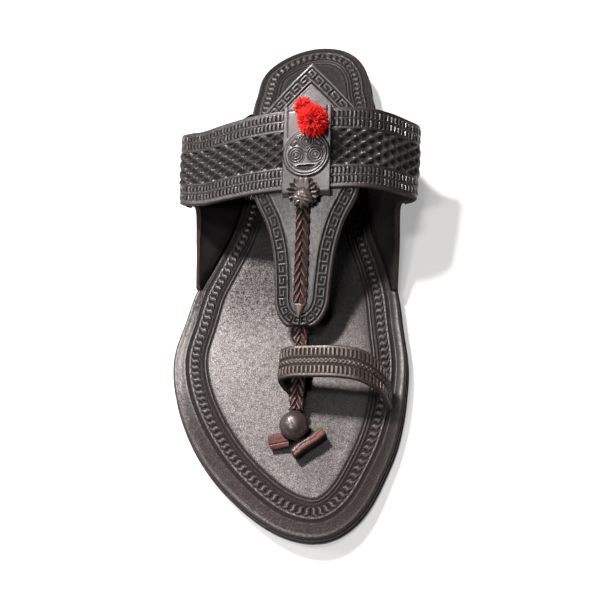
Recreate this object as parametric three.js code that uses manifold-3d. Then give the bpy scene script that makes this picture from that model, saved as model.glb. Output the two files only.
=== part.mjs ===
import * as THREE from "three";
import { mergeVertices } from "three/addons/utils/BufferGeometryUtils.js";
import Module from "manifold-3d";

const wasm = await Module();
wasm.setup();

// A right-foot kolhapuri sandal. Millimetres, +X the big toe side, +Y the heel, +Z up.
const seam = 0.3; // clearance between pieces that lie on each other

// Sole: three leather layers on a low stacked heel
const soleLength = 277.4;
const ballWidth = 110.6;
const waistWidth = 67.4;
const heelWidth = 64.6;
const outsoleThick = 3.0;
const midsoleThick = 2.6;
const insoleThick = 3.2;
const layerStep = 0.5; // each layer stands this far inside the one below
const heelLift = 7.0;
const heelSeatLength = 62.0;
const shankLength = 88.0;
const toeSpring = 4.0;
const toeSpringLength = 45.0;
const heelRound = 32.0;
const toeRound = 84.0;

// Instep band
const bandWidth = 38.5;
const bandThick = 2.5;
const bandSpan = 116.6;
const instepHeight = 53.2;
const bandFront = 127.6; // heel tip to the front edge over the instep
const bandTiltTop = 22.0;
const bandTiltSide = 10.5;
const bandFlareLateral = 0.045;
const bandFlareMedial = 0.025;

// Ears that carry the band
const earThick = 2.6;
const earBaseFront = 155.5;
const earBaseRear = 50.0;
const earEdge = 0.8; // how far the ear reaches past the band's edges
const earUnderBand = 13.0; // length of the band that lies on the ear
const earHollow = 4.0; // how far the ear's sides curve in
const earSeam = 0.45; // clearance between ear and band, which both bend

// Kite tongue
const tongueThick = 2.2;
const tongueWidth = 25.6;
const tongueReach = 55.8;
const tongueRound = 14.0;
const kiteWidth = 50.4;
const kiteReach = 22.0;
const tongueSet = 0.5; // depth that the tongue is bonded into the band

// Centre tab with its medallion
const tabWidth = 22.6;
const tabThick = 1.8;
const tabTail = 0.5; // length past the band's rear edge
const tabFoldAngle = 60.0;
const tabFoldRadius = 4.0;
const medallionRadius = 11.2;
const medallionRise = 1.3;
const medallionBack = 15.2; // front edge of the band to the medallion's middle

// Rosette and its knot
const rosetteRadius = 7.6;
const rosetteTooth = 1.3;
const rosetteTeeth = 16;
const rosetteThick = 1.5;
const rosetteLean = 40.0;
const knotLength = 9.4;
const knotWidth = 7.0;
const knotHeight = 3.6;

// Braids
const braidWidth = 6.6;
const braidThick = 2.8;
const braidPitch = 4.2;
const braidArm = 1.0; // height of the raised strips
const braidLength = 47.0;
const toeBraidWidth = 6.2;

// Toe ring
const ringWidth = 14.5;
const ringThick = 2.4;
const ringRise = 22.0;
const ringSpan = 50.0;
const ringFrontShare = 0.7333; // place of its middle along the sole

// Bead and the two knotted ends
const beadRadius = 6.8;
const beadShare = 0.8241;
const foldWidth = 4.8;
const foldHeight = 6.6;
const foldLength = 17.0;
const flapLength = 8.6;
const flapWidth = 6.6;
const flapThick = 2.4;

// Pompom
const pomRadius = 5.0;
const pomReach = 8.0;
const pomLocks = 24;
const pomBack = 29.4; // front edge of the band to the pompom's middle

const degrees = Math.PI / 180;
const soleStack = outsoleThick + midsoleThick + insoleThick;
const lateral = -1;
const medial = 1;

// Sections of the sole from the heel tip: half width and middle line
const soleSections = [
  { along: 0.0 * soleLength, half: 0.5 * heelWidth, middle: 0.034 * ballWidth },
  { along: 0.06 * soleLength, half: 0.5 * heelWidth, middle: 0.006 * ballWidth },
  { along: 0.116 * soleLength, half: 0.5 * heelWidth, middle: 0.004 * ballWidth },
  { along: 0.16 * soleLength, half: 0.53 * heelWidth, middle: 0.008 * ballWidth },
  { along: 0.24 * soleLength, half: 0.507 * waistWidth, middle: 0.006 * ballWidth },
  { along: 0.32 * soleLength, half: 0.5 * waistWidth, middle: 0.004 * ballWidth },
  { along: 0.39 * soleLength, half: 0.53 * waistWidth, middle: 0.004 * ballWidth },
  { along: 0.445 * soleLength, half: 0.58 * waistWidth, middle: 0.003 * ballWidth },
  { along: 0.5 * soleLength, half: 0.405 * ballWidth, middle: 0.002 * ballWidth },
  { along: 0.563 * soleLength, half: 0.457 * ballWidth, middle: -0.006 * ballWidth },
  { along: 0.628 * soleLength, half: 0.484 * ballWidth, middle: -0.0095 * ballWidth },
  { along: 0.69 * soleLength, half: 0.508 * ballWidth, middle: -0.011 * ballWidth },
  { along: 0.76 * soleLength, half: 0.505 * ballWidth, middle: 0.0 * ballWidth },
  { along: 0.845 * soleLength, half: 0.49 * ballWidth, middle: 0.031 * ballWidth },
  { along: 0.9 * soleLength, half: 0.472 * ballWidth, middle: 0.058 * ballWidth },
  { along: 0.95 * soleLength, half: 0.455 * ballWidth, middle: 0.096 * ballWidth },
  { along: 0.984 * soleLength, half: 0.446 * ballWidth, middle: 0.123 * ballWidth },
  { along: 1.0 * soleLength, half: 0.45 * ballWidth, middle: 0.138 * ballWidth },
];

// Front edge of the band, from its lateral end over the instep to its medial end
const bandEdge = [
  { across: -0.93, height: 0.479, back: 0.238 },
  { across: -0.984, height: 0.536, back: 0.208 },
  { across: -1.0, height: 0.611, back: 0.164 },
  { across: -0.957, height: 0.669, back: 0.112 },
  { across: -0.772, height: 0.733, back: 0.042 },
  { across: -0.549, height: 0.823, back: 0.023 },
  { across: -0.292, height: 0.91, back: 0.013 },
  { across: -0.034, height: 0.97, back: 0.003 },
  { across: 0.223, height: 0.996, back: 0.0 },
  { across: 0.446, height: 1.0, back: 0.013 },
  { across: 0.635, height: 0.97, back: 0.034 },
  { across: 0.789, height: 0.898, back: 0.057 },
  { across: 0.918, height: 0.789, back: 0.094 },
  { across: 0.986, height: 0.71, back: 0.134 },
  { across: 1.0, height: 0.638, back: 0.167 },
  { across: 0.971, height: 0.568, back: 0.195 },
  { across: 0.905, height: 0.513, back: 0.22 },
];

// Half width of the tongue, from its tip to the apex of the kite
const tongueSections = [
  { along: 0.0 * tongueReach, half: 0.5 * tongueWidth },
  { along: 0.2 * tongueReach, half: 0.5 * tongueWidth },
  { along: 0.37 * tongueReach, half: 0.52 * tongueWidth },
  { along: 0.6 * tongueReach, half: 0.58 * tongueWidth },
  { along: 0.8 * tongueReach, half: 0.365 * kiteWidth },
  { along: 0.92 * tongueReach, half: 0.44 * kiteWidth },
  { along: 1.0 * tongueReach, half: 0.485 * kiteWidth },
  { along: tongueReach + 0.25 * bandWidth, half: 0.5 * kiteWidth },
];

// Fall of the tongue's line in front of the band
const tongueFall = [
  { ahead: 0.0 * tongueReach, fall: 0.0 * instepHeight },
  { ahead: 0.206 * tongueReach, fall: 0.15 * instepHeight },
  { ahead: 0.4 * tongueReach, fall: 0.28 * instepHeight },
  { ahead: 0.645 * tongueReach, fall: 0.425 * instepHeight },
  { ahead: 0.796 * tongueReach, fall: 0.5 * instepHeight },
  { ahead: 1.0 * tongueReach, fall: 0.59 * instepHeight },
];

// Middle line of the toe ring, from the medial foot to the lateral one
const ringLine = [
  { across: 1.0, ahead: 0.72, rise: 0.0, width: 0.68 },
  { across: 0.99, ahead: 0.62, rise: 0.32, width: 0.76 },
  { across: 0.917, ahead: 0.36, rise: 0.7, width: 0.9 },
  { across: 0.752, ahead: 0.12, rise: 0.945, width: 1.0 },
  { across: 0.539, ahead: 0.03, rise: 1.0, width: 1.0 },
  { across: 0.287, ahead: 0.0, rise: 0.95, width: 1.0 },
  { across: 0.093, ahead: -0.01, rise: 0.864, width: 1.0 },
  { across: 0.0, ahead: 0.0, rise: 0.7, width: 1.0 },
  { across: 0.0, ahead: 0.04, rise: 0.4, width: 0.97 },
  { across: 0.045, ahead: 0.15, rise: 0.16, width: 0.92 },
  { across: 0.075, ahead: 0.25, rise: 0.0, width: 0.88 },
];

const point = (x, y, z) => new THREE.Vector3(x, y, z);
const blend = (a, b, t) => a + (b - a) * t;
const clamp = (t) => Math.min(1, Math.max(0, t));
const smooth = (t) => clamp(t) ** 2 * (3 - 2 * clamp(t));
const steps = (count) => Array.from({ length: count + 1 }, (_, i) => i / count);
const tipSteps = (count) => steps(count).map((t) => 0.5 - 0.5 * Math.cos(Math.PI * t));

// A column of a table at any place: cubic between rows, with the slopes of their neighbours
function readTable(rows, key, column, at) {
  const last = rows.length - 1;
  const place = Math.min(rows[last][key], Math.max(rows[0][key], at));
  let i = 0;
  while (i < last - 1 && place > rows[i + 1][key]) i += 1;
  const slope = (a, b) => (rows[b][column] - rows[a][column]) / (rows[b][key] - rows[a][key]);
  const span = rows[i + 1][key] - rows[i][key];
  const start = i > 0 ? slope(i - 1, i + 1) : slope(i, i + 1);
  const end = i + 1 < last ? slope(i, i + 2) : slope(i, i + 1);
  const t = (place - rows[i][key]) / span;
  const from = rows[i][column] * (1 + 2 * t) * (1 - t) ** 2 + span * start * t * (1 - t) ** 2;
  const to = rows[i + 1][column] * t * t * (3 - 2 * t) - span * end * t * t * (1 - t);
  return from + to;
}

// Closed geometry from points and triangles, with collapsed triangles dropped and faces outward
function closedGeometry(points, faces) {
  const loose = new THREE.BufferGeometry();
  const places = points.flatMap((p) => [p.x, p.y, p.z]);
  loose.setAttribute("position", new THREE.Float32BufferAttribute(places, 3));
  loose.setIndex(faces.flat());
  const merged = mergeVertices(loose, 1e-3);
  const index = merged.index.array;
  const place = merged.attributes.position;
  const corner = (i) => point(place.getX(i), place.getY(i), place.getZ(i));
  const kept = [];
  let volume = 0;
  for (let f = 0; f < index.length; f += 3) {
    const [a, b, c] = [index[f], index[f + 1], index[f + 2]];
    if (a === b || b === c || c === a) continue;
    kept.push(a, b, c);
    volume += corner(a).dot(corner(b).cross(corner(c)));
  }
  merged.setIndex(volume > 0 ? kept : kept.reverse());
  return merged;
}

// Solid between two grids of points, such as the two faces of a wall
function gridSolid(top, bottom) {
  const rows = top.length - 1;
  const columns = top[0].length - 1;
  const stride = columns + 1;
  const upper = (i, j) => i * stride + j;
  const lower = (i, j) => (rows + 1 + i) * stride + j;
  const faces = [];
  const quad = (a, b, c, d) => faces.push([a, b, c], [a, c, d]);
  for (let i = 0; i < rows; i += 1) {
    for (let j = 0; j < columns; j += 1) {
      quad(upper(i, j), upper(i + 1, j), upper(i + 1, j + 1), upper(i, j + 1));
      quad(lower(i, j), lower(i, j + 1), lower(i + 1, j + 1), lower(i + 1, j));
    }
    quad(upper(i + 1, 0), upper(i, 0), lower(i, 0), lower(i + 1, 0));
    quad(upper(i, columns), upper(i + 1, columns), lower(i + 1, columns), lower(i, columns));
  }
  for (let j = 0; j < columns; j += 1) {
    quad(upper(0, j), upper(0, j + 1), lower(0, j + 1), lower(0, j));
    quad(upper(rows, j + 1), upper(rows, j), lower(rows, j), lower(rows, j + 1));
  }
  return closedGeometry([...top.flat(), ...bottom.flat()], faces);
}

function toSolid(geometry) {
  const bare = new THREE.BufferGeometry();
  bare.setAttribute("position", geometry.attributes.position.clone());
  if (geometry.index) bare.setIndex(geometry.index.clone());
  const merged = mergeVertices(bare, 1e-3);
  const mesh = new wasm.Mesh({
    numProp: 3,
    vertProperties: new Float32Array(merged.attributes.position.array),
    triVerts: new Uint32Array(merged.index.array),
  });
  return new wasm.Manifold(mesh);
}

function fromSolid(solid) {
  const mesh = solid.getMesh();
  const geometry = new THREE.BufferGeometry();
  geometry.setAttribute("position", new THREE.Float32BufferAttribute(mesh.vertProperties, 3));
  geometry.setIndex(Array.from(mesh.triVerts));
  return geometry;
}

const fuse = (geometries) => fromSolid(geometries.map(toSolid).reduce((a, b) => a.add(b)));

// Moves a geometry so that its own X, Y and Z lie along the given directions at a place
function set(geometry, place, sideways, forward, upward) {
  const matrix = new THREE.Matrix4().makeBasis(sideways, forward, upward).setPosition(place);
  return geometry.clone().applyMatrix4(matrix);
}

const yAt = (along) => soleLength / 2 - along;

// Height of the sole's underside: heel, shank, flat forefoot and toe spring
function underside(along) {
  const raised = 1 - smooth((along - heelSeatLength) / shankLength);
  const sprung = clamp((along - (soleLength - toeSpringLength)) / toeSpringLength);
  return heelLift * raised + toeSpring * sprung ** 2;
}

const footbed = (along) => underside(along) + soleStack;

// Sides of the sole, rounded to nothing at the heel and toe tips
function soleSide(side, along, inset) {
  const heel = 1 - clamp(along / heelRound);
  const toe = 1 - clamp((soleLength - along) / toeRound);
  const round = Math.sqrt((1 - heel ** 2) * (1 - toe ** 2));
  const half = readTable(soleSections, "along", "half", along) * round;
  const shrink = 1 - inset / (0.5 * ballWidth);
  return readTable(soleSections, "along", "middle", along) + side * half * shrink;
}

// One layer of the sole between two heights above the underside
function soleLayer(inset, low, high) {
  const shares = [-1, -0.5, 0, 0.5, 1];
  const face = (height) =>
    tipSteps(44).map((t) => {
      const along = soleLength * t;
      const kept = blend(inset, soleLength - inset, t);
      const left = soleSide(lateral, along, inset);
      const right = soleSide(medial, along, inset);
      const z = underside(along) + height;
      return shares.map((share) => point(blend(left, right, 0.5 + 0.5 * share), yAt(kept), z));
    });
  return gridSolid(face(high), face(low));
}

// Low stacked heel under the flat heel seat
function heelBlock() {
  const front = heelSeatLength - 3;
  const face = (z, inset) =>
    steps(20).map((t) => {
      const along = blend(0, front, t ** 2);
      const left = soleSide(lateral, along, inset);
      const right = soleSide(medial, along, inset);
      const back = blend(inset, 0, t);
      return [0, 0.25, 0.5, 0.75, 1].map((s) => point(blend(left, right, s), yAt(along + back), z));
    });
  return gridSolid(face(heelLift - seam, layerStep), face(0, 2 * layerStep));
}

// Space beside the insole that an ear stands in
function earNotch(side) {
  const inner = earThick + layerStep / 2 + seam;
  const face = (z) =>
    steps(16).map((t) => {
      const along = blend(earBaseRear - earThick / 3, earBaseFront + earThick / 3, t);
      const edge = soleSide(side, along, 0);
      return [edge - side * inner, edge + side * inner].map((x) => point(x, yAt(along), z));
    });
  return gridSolid(face(3 * soleStack), face(0));
}

function insoleGeometry() {
  const low = outsoleThick + midsoleThick;
  const slab = toSolid(soleLayer(2 * layerStep, low, soleStack));
  const left = toSolid(earNotch(lateral));
  const right = toSolid(earNotch(medial));
  return fromSolid(slab.subtract(left).subtract(right));
}

const bandLine = new THREE.CatmullRomCurve3(
  bandEdge.map((row) => {
    const y = yAt(bandFront) + row.back * bandWidth;
    return point((row.across * bandSpan) / 2, y, row.height * instepHeight);
  }),
  false,
  "centripetal",
);
bandLine.arcLengthDivisions = 600;

// Direction across the band at a point of its front edge
function bandAcross(x) {
  const share = clamp(1 - ((2 * x) / bandSpan) ** 2);
  const tilt = blend(bandTiltSide, bandTiltTop, share) * degrees;
  const flare = (x < 0 ? bandFlareLateral : bandFlareMedial) * x;
  return point(flare / bandWidth, Math.cos(tilt), Math.sin(tilt));
}

// Outer face of the band: t runs along it, w across it from front to rear
function bandPoint(t, w) {
  const edge = bandLine.getPointAt(clamp(t));
  return edge.addScaledVector(bandAcross(edge.x), w * bandWidth);
}

function bandNormal(t, w) {
  const step = 0.002;
  const along = bandPoint(t + step, w).sub(bandPoint(t - step, w));
  return along.cross(bandAcross(bandPoint(t, 0).x)).normalize();
}

const bandInside = (t, w, depth) => bandPoint(t, w).addScaledVector(bandNormal(t, w), -depth);

// Height of the band's outer face, carried on to the front and rear over the instep
function instepSurface(x, y) {
  let low = 0.15;
  let high = 0.85;
  for (let i = 0; i < 24; i += 1) {
    const middle = (low + high) / 2;
    if (bandLine.getPointAt(middle).x < x) low = middle;
    else high = middle;
  }
  const edge = bandLine.getPointAt(low);
  const across = bandAcross(edge.x);
  const behind = y - edge.y;
  if (behind >= 0) return edge.z + (behind * across.z) / across.y;
  const level = blend(edge.z, instepHeight, clamp(-behind / tongueReach));
  return level - readTable(tongueFall, "ahead", "fall", -behind);
}

function bandGeometry() {
  const face = (depth) =>
    steps(54).map((t) => steps(3).map((w) => bandInside(t, w, depth)));
  return gridSolid(face(0), face(bandThick));
}

const tipAlong = bandFront + tongueReach;
const kiteAlong = bandFront - bandWidth * Math.cos(bandTiltTop * degrees) - kiteReach;
const centreLine = (along) => blend(0.047, 0.084, (tipAlong - along) / (tipAlong - kiteAlong)) * ballWidth;

// Half width of the tongue at a distance from its tip
function tongueHalf(fromTip) {
  const whole = tipAlong - kiteAlong;
  const kite = clamp((whole - fromTip) / kiteReach);
  const tip = 1 - clamp(fromTip / tongueRound);
  return readTable(tongueSections, "along", "half", fromTip) * kite * Math.sqrt(1 - tip ** 2);
}

const tabMiddle = centreLine(bandFront) + 0.008 * ballWidth;
const tongueTop = (x, y) => instepSurface(x, y) - bandThick + (tongueSet * bandThick) / 5;

function tongueGeometry() {
  const whole = tipAlong - kiteAlong;
  const face = (depth) =>
    steps(30).map((t) => {
      const fromTip = whole * t ** 1.35;
      const y = yAt(tipAlong - fromTip);
      const middle = centreLine(tipAlong - fromTip);
      const half = tongueHalf(fromTip);
      return steps(6).map((s) => {
        const x = middle + half * (2 * s - 1);
        return point(x, y, tongueTop(x, y) - depth);
      });
    });
  return gridSolid(face(0), face(tongueThick * 1.12));
}

const upperGeometry = () => fuse([bandGeometry(), tongueGeometry()]);

// An ear: a wall that stands on the midsole beside the insole, leans out and lies in the band
function earGeometry(side) {
  const bandLength = bandLine.getLength();
  const bandPlace = (length) => (side < 0 ? length / bandLength : 1 - length / bandLength);
  const edgeShare = earEdge / bandWidth;
  const outer = steps(14).map((u) => {
    const along = blend(earBaseFront, earBaseRear, u);
    const x = soleSide(side, along, 0) - (side * layerStep) / 2;
    const y = yAt(along);
    const foot = point(x, y, footbed(along) - insoleThick);
    const rise = point(x, y, footbed(along) + seam);
    const w = blend(-edgeShare, 1 + edgeShare, u);
    const band = [0.25, 4, 8.5, earUnderBand].map((length) =>
      bandInside(bandPlace(length), w, bandThick + earSeam),
    );
    const waist = rise.clone().lerp(band[0], 0.5);
    waist.y += earHollow * (1 - 2 * u);
    const bend = new THREE.CatmullRomCurve3([rise, waist, ...band], false, "centripetal");
    return [foot, ...bend.getPoints(10)];
  });
  const inner = outer.map((row, i) =>
    row.map((p, j) => {
      const next = outer[Math.min(i + 1, outer.length - 1)][j];
      const before = outer[Math.max(i - 1, 0)][j];
      const above = row[Math.min(j + 1, row.length - 1)];
      const below = row[Math.max(j - 1, 0)];
      const normal = next.clone().sub(before).cross(above.clone().sub(below)).normalize();
      if (j < 1) normal.setZ(0).normalize();
      return p.clone().addScaledVector(normal, -side * earThick);
    }),
  );
  return gridSolid(outer, inner);
}

// Centre tab: lies on the band, folds over its front edge and carries the medallion
function tabGeometry() {
  const middleX = tabMiddle;
  const tilt = bandTiltTop * degrees;
  const fold = tabFoldAngle * degrees;
  const core = tabFoldRadius - tabThick - seam;
  const tail = bandWidth + tabTail;
  const section = (x, raise) => {
    const edge = yAt(bandFront);
    const front = instepSurface(x, edge + 0.02);
    const centreY = edge + core * Math.sin(tilt);
    const centreZ = front - core * Math.cos(tilt);
    const radius = core + seam + raise;
    const bend = steps(5).map((t) => {
      const angle = tilt + fold * (1 - t);
      return point(x, centreY - radius * Math.sin(angle), centreZ + radius * Math.cos(angle));
    });
    const flat = steps(10).slice(1).map((t) => {
      const y = edge + tail * t * Math.cos(tilt);
      const up = (seam + raise) / Math.cos(tilt);
      return point(x, y, instepSurface(x, y) + up);
    });
    return [...bend, ...flat];
  };
  const across = steps(6).map((s) => middleX + tabWidth * (s - 0.5));
  const sheet = gridSolid(
    across.map((x) => section(x, tabThick)),
    across.map((x) => section(x, 0)),
  );
  const disc = new THREE.CylinderGeometry(medallionRadius - 0.5, medallionRadius, medallionRise * 2, 32);
  disc.rotateX(Math.PI / 2);
  const y = yAt(bandFront) + medallionBack * Math.cos(tilt);
  const z = instepSurface(middleX, y) + (seam + tabThick) / Math.cos(tilt);
  const up = point(0, -Math.sin(tilt), Math.cos(tilt));
  const forward = point(0, Math.cos(tilt), Math.sin(tilt));
  return fuse([sheet, set(disc, point(middleX, y, z), point(1, 0, 0), forward, up)]);
}

// Place and directions of the rosette, which leans forward on the tab's fold
function rosettePlace() {
  const tilt = bandTiltTop * degrees;
  const lean = rosetteLean * degrees;
  const core = tabFoldRadius - tabThick - seam;
  const x = centreLine(bandFront);
  const y = yAt(bandFront) + core * Math.sin(tilt);
  const top = Math.max(...[-1, 0, 1].map((s) => instepSurface(x + s * rosetteRadius, yAt(bandFront) + 0.02)));
  const up = point(0, -Math.sin(lean), Math.cos(lean));
  const back = point(0, Math.cos(lean), Math.sin(lean));
  const centre = point(x, y, top - core * Math.cos(tilt));
  centre.addScaledVector(up, tabFoldRadius + seam).addScaledVector(back, -0.12 * rosetteRadius);
  return { centre, up, back };
}

function rosetteGeometry() {
  const { centre, up, back } = rosettePlace();
  const corners = steps(2 * rosetteTeeth).slice(1).map((t, i) => {
    const radius = i % 2 ? rosetteRadius : rosetteRadius - rosetteTooth;
    return new THREE.Vector2(radius * Math.cos(2 * Math.PI * t), radius * Math.sin(2 * Math.PI * t));
  });
  const disc = new THREE.ExtrudeGeometry(new THREE.Shape(corners), { depth: rosetteThick, bevelEnabled: false });
  return set(disc, centre, point(1, 0, 0), back, up);
}

// Knot of two lobes that lies on the rosette
function rosetteKnotGeometry() {
  const { centre, up, back } = rosettePlace();
  const lobe = new THREE.SphereGeometry(0.5, 12, 8);
  lobe.scale(0.56 * knotLength, knotWidth, knotHeight);
  const place = centre.clone().addScaledVector(up, rosetteThick + seam + knotHeight / 2);
  place.addScaledVector(back, -0.25 * rosetteRadius);
  const lobes = [-1, 1].map((side) => {
    const part = place.clone().add(point(side * 0.22 * knotLength, 0, 0));
    const turn = side * 14 * degrees;
    const sideways = point(Math.cos(turn), 0, 0).addScaledVector(back, Math.sin(turn));
    return set(lobe, part, sideways, up.clone().cross(sideways), up);
  });
  return fuse(lobes);
}

// Flat braid on a line of points: a strip with raised slanting arms that meet in chevrons
function braidGeometry(line, width, lineUp) {
  const length = line.getLength();
  const frame = (t) => {
    const forward = line.getTangentAt(clamp(t));
    const sideways = forward.clone().cross(lineUp).normalize();
    return { place: line.getPointAt(clamp(t)), forward, sideways, up: sideways.clone().cross(forward) };
  };
  const base = braidThick - braidArm;
  const shares = [-1, -0.75, 0, 0.75, 1];
  const face = (sign) =>
    steps(12).map((t) => {
      const { place, sideways, up } = frame(t);
      return shares.map((s) => {
        const high = base * (sign > 0 ? 1 - 0.45 * Math.abs(s) ** 3 : 0);
        return place.clone().addScaledVector(sideways, (s * width) / 2).addScaledVector(up, high);
      });
    });
  const solids = [gridSolid(face(1), face(-1))];
  const count = Math.floor(length / braidPitch);
  const arm = new THREE.OctahedronGeometry(1, 0);
  arm.scale(0.36 * width, 0.4 * braidPitch, braidArm);
  for (let i = 0; i < count; i += 1) {
    const { place, forward, sideways, up } = frame((i + 0.5) / count);
    for (const side of [-1, 1]) {
      const slant = side * 38 * degrees;
      const along = sideways.clone().multiplyScalar(Math.cos(slant));
      along.addScaledVector(forward, Math.sin(slant));
      const spot = place.clone().addScaledVector(sideways, side * 0.24 * width);
      spot.addScaledVector(up, base);
      solids.push(set(arm, spot, along, up.clone().cross(along), up));
    }
  }
  return fuse(solids);
}

// Braid down the middle of the tongue
function instepBraidGeometry() {
  const start = bandFront + 0.1 * bandWidth;
  const points = steps(8).map((t) => {
    const along = start + braidLength * t;
    const x = centreLine(along) - 0.006 * ballWidth;
    return point(x, yAt(along), tongueTop(x, yAt(along)) + 1.3 * seam);
  });
  return braidGeometry(new THREE.CatmullRomCurve3(points), braidWidth, point(0, -0.5, 0.87));
}

const beadAlong = beadShare * soleLength;
const beadPlace = point(0.054 * ballWidth, yAt(beadAlong), footbed(beadAlong) + seam + beadRadius);

// Braid from under the tongue's tip, through the ring, to the bead
function toeBraidGeometry() {
  const x = centreLine(tipAlong);
  const start = tipAlong - 0.09 * tongueReach;
  const under = tongueTop(x, yAt(tipAlong)) - tongueThick * 1.12 - seam - braidThick;
  const end = beadPlace.clone().add(point(0, beadRadius + seam, -0.3 * braidThick));
  const points = [
    point(x, yAt(start), under - 0.1 * seam),
    point(x, yAt(tipAlong + 0.05 * tongueReach), under - seam),
    point(beadPlace.x, blend(yAt(tipAlong), end.y, 0.5), blend(under, end.z, 0.5)),
    end,
  ];
  return braidGeometry(new THREE.CatmullRomCurve3(points), toeBraidWidth, point(0, 0, 1));
}

// Toe ring: a strap that rises from the sole, arches over the big toe and turns down beside it
function ringGeometry() {
  const along = ringFrontShare * soleLength;
  const left = -0.016 * ballWidth;
  const floor = footbed(along);
  const rows = ringLine.map((row) =>
    point(left + row.across * ringSpan, yAt(along) - row.ahead * ringWidth, floor + row.rise * ringRise),
  );
  const line = new THREE.CatmullRomCurve3(rows, false, "centripetal");
  const count = ringLine.length - 1;
  const across = point(0, 1, 0.1).normalize();
  const face = (depth) =>
    steps(36).map((t) => {
      const place = line.getPoint(t);
      const tangent = line.getTangent(t);
      const inward = tangent.clone().cross(across).normalize();
      const row = readTable(ringLine.map((r, i) => ({ i, width: r.width })), "i", "width", t * count);
      return steps(3).map((w) => {
        const spot = place.clone().addScaledVector(inward, depth);
        spot.addScaledVector(across, (w - 0.5) * ringWidth * row);
        if (t === 0 || t === 1) spot.z = floor;
        return spot;
      });
    });
  return gridSolid(face(0), face(ringThick));
}

function beadGeometry() {
  return new THREE.SphereGeometry(beadRadius, 16, 10).translate(beadPlace.x, beadPlace.y, beadPlace.z);
}

// Folded end of the thong, standing on its edge in front of the bead
function foldGeometry() {
  const heading = point(0.774, 0.633, 0);
  const aside = point(heading.y, -heading.x, 0);
  const reach = beadRadius + foldWidth / 2 + seam;
  const place = beadPlace.clone().addScaledVector(aside, reach).addScaledVector(heading, 0.04 * foldLength);
  place.z += foldHeight / 2 - beadRadius;
  const sections = [
    { at: 0.0, size: 0.7 },
    { at: 0.07, size: 0.94 },
    { at: 0.35, size: 1.0 },
    { at: 0.65, size: 0.94 },
    { at: 0.93, size: 0.98 },
    { at: 1.0, size: 0.82 },
  ];
  const profile = [
    new THREE.Vector2(0, -foldLength / 2),
    ...sections.map((s) => new THREE.Vector2(s.size / 2, (s.at - 0.5) * foldLength)),
    new THREE.Vector2(0, foldLength / 2),
  ];
  const bar = new THREE.LatheGeometry(profile, 14).scale(foldWidth, 1, foldHeight);
  return set(bar, place, aside, heading, point(0, 0, 1));
}

// Flat cut end of the thong, which leans on the sole and is hollowed where the bead presses on it
function flapGeometry() {
  const up = point(-0.25, -0.5, 0.83).normalize();
  const heading = point(-0.96, -0.24, 0).addScaledVector(up, -0.1).normalize();
  const across = up.clone().cross(heading).normalize();
  const upward = heading.clone().cross(across);
  const shape = new THREE.BoxGeometry(flapLength, flapWidth, flapThick, 3, 2, 1);
  const out = point(-0.697, -0.629, -0.345).normalize();
  const place = beadPlace.clone().addScaledVector(out, beadRadius + seam + 0.33 * flapLength);
  const hollow = new THREE.SphereGeometry(beadRadius + seam, 16, 10);
  hollow.translate(beadPlace.x, beadPlace.y, beadPlace.z);
  return fromSolid(toSolid(set(shape, place, heading, across, upward)).subtract(toSolid(hollow)));
}

// Pompom: a ball with pointed locks fused on, and a second smaller tuft
function pompomGeometry() {
  const tilt = bandTiltTop * degrees;
  const up = point(0, -Math.sin(tilt), Math.cos(tilt));
  const x = centreLine(bandFront) + 0.037 * ballWidth;
  const y = yAt(bandFront) + pomBack * Math.cos(tilt);
  const z = instepSurface(x, y) + (seam + tabThick) / Math.cos(tilt);
  const base = point(x, y, z).addScaledVector(up, seam + 0.08 * pomRadius);
  const tufts = [
    { place: base.clone().addScaledVector(up, pomRadius), size: 1, locks: pomLocks },
    { place: base.clone().add(point(-1.1 * pomRadius, 0.95 * pomRadius, 1.5 * pomRadius)), size: 0.62, locks: 9 },
  ];
  const solids = tufts.flatMap(({ place, size, locks }) => {
    const ball = new THREE.IcosahedronGeometry(pomRadius * size, 1);
    const spikes = steps(locks).slice(1).map((t, i) => {
      const height = 1 - 1.25 * t;
      const turn = i * 2.39996;
      const ring = Math.sqrt(1 - height ** 2);
      const sideways = point(1, 0, 0);
      const back = point(0, Math.cos(tilt), Math.sin(tilt));
      const heading = up.clone().multiplyScalar(height);
      heading.addScaledVector(sideways, ring * Math.cos(turn)).addScaledVector(back, ring * Math.sin(turn));
      const reach = pomReach * size * (0.9 + 0.14 * Math.sin(5.1 * i));
      const lock = new THREE.CylinderGeometry(0.25, 0.4 * pomRadius * size, reach, 4);
      const across = heading.clone().cross(point(0.3, 0.2, 0.93)).normalize();
      const middle = place.clone().addScaledVector(heading, reach / 2);
      return set(lock, middle, across, heading, across.clone().cross(heading));
    });
    return [set(ball, place, point(1, 0, 0), point(0, 1, 0), point(0, 0, 1)), ...spikes];
  });
  return fuse(solids);
}

const leather = (color, roughness) => new THREE.MeshStandardMaterial({ color, roughness, metalness: 0 });
const wool = new THREE.MeshStandardMaterial({ color: 0xc4121a, roughness: 0.95, metalness: 0 });

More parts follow.
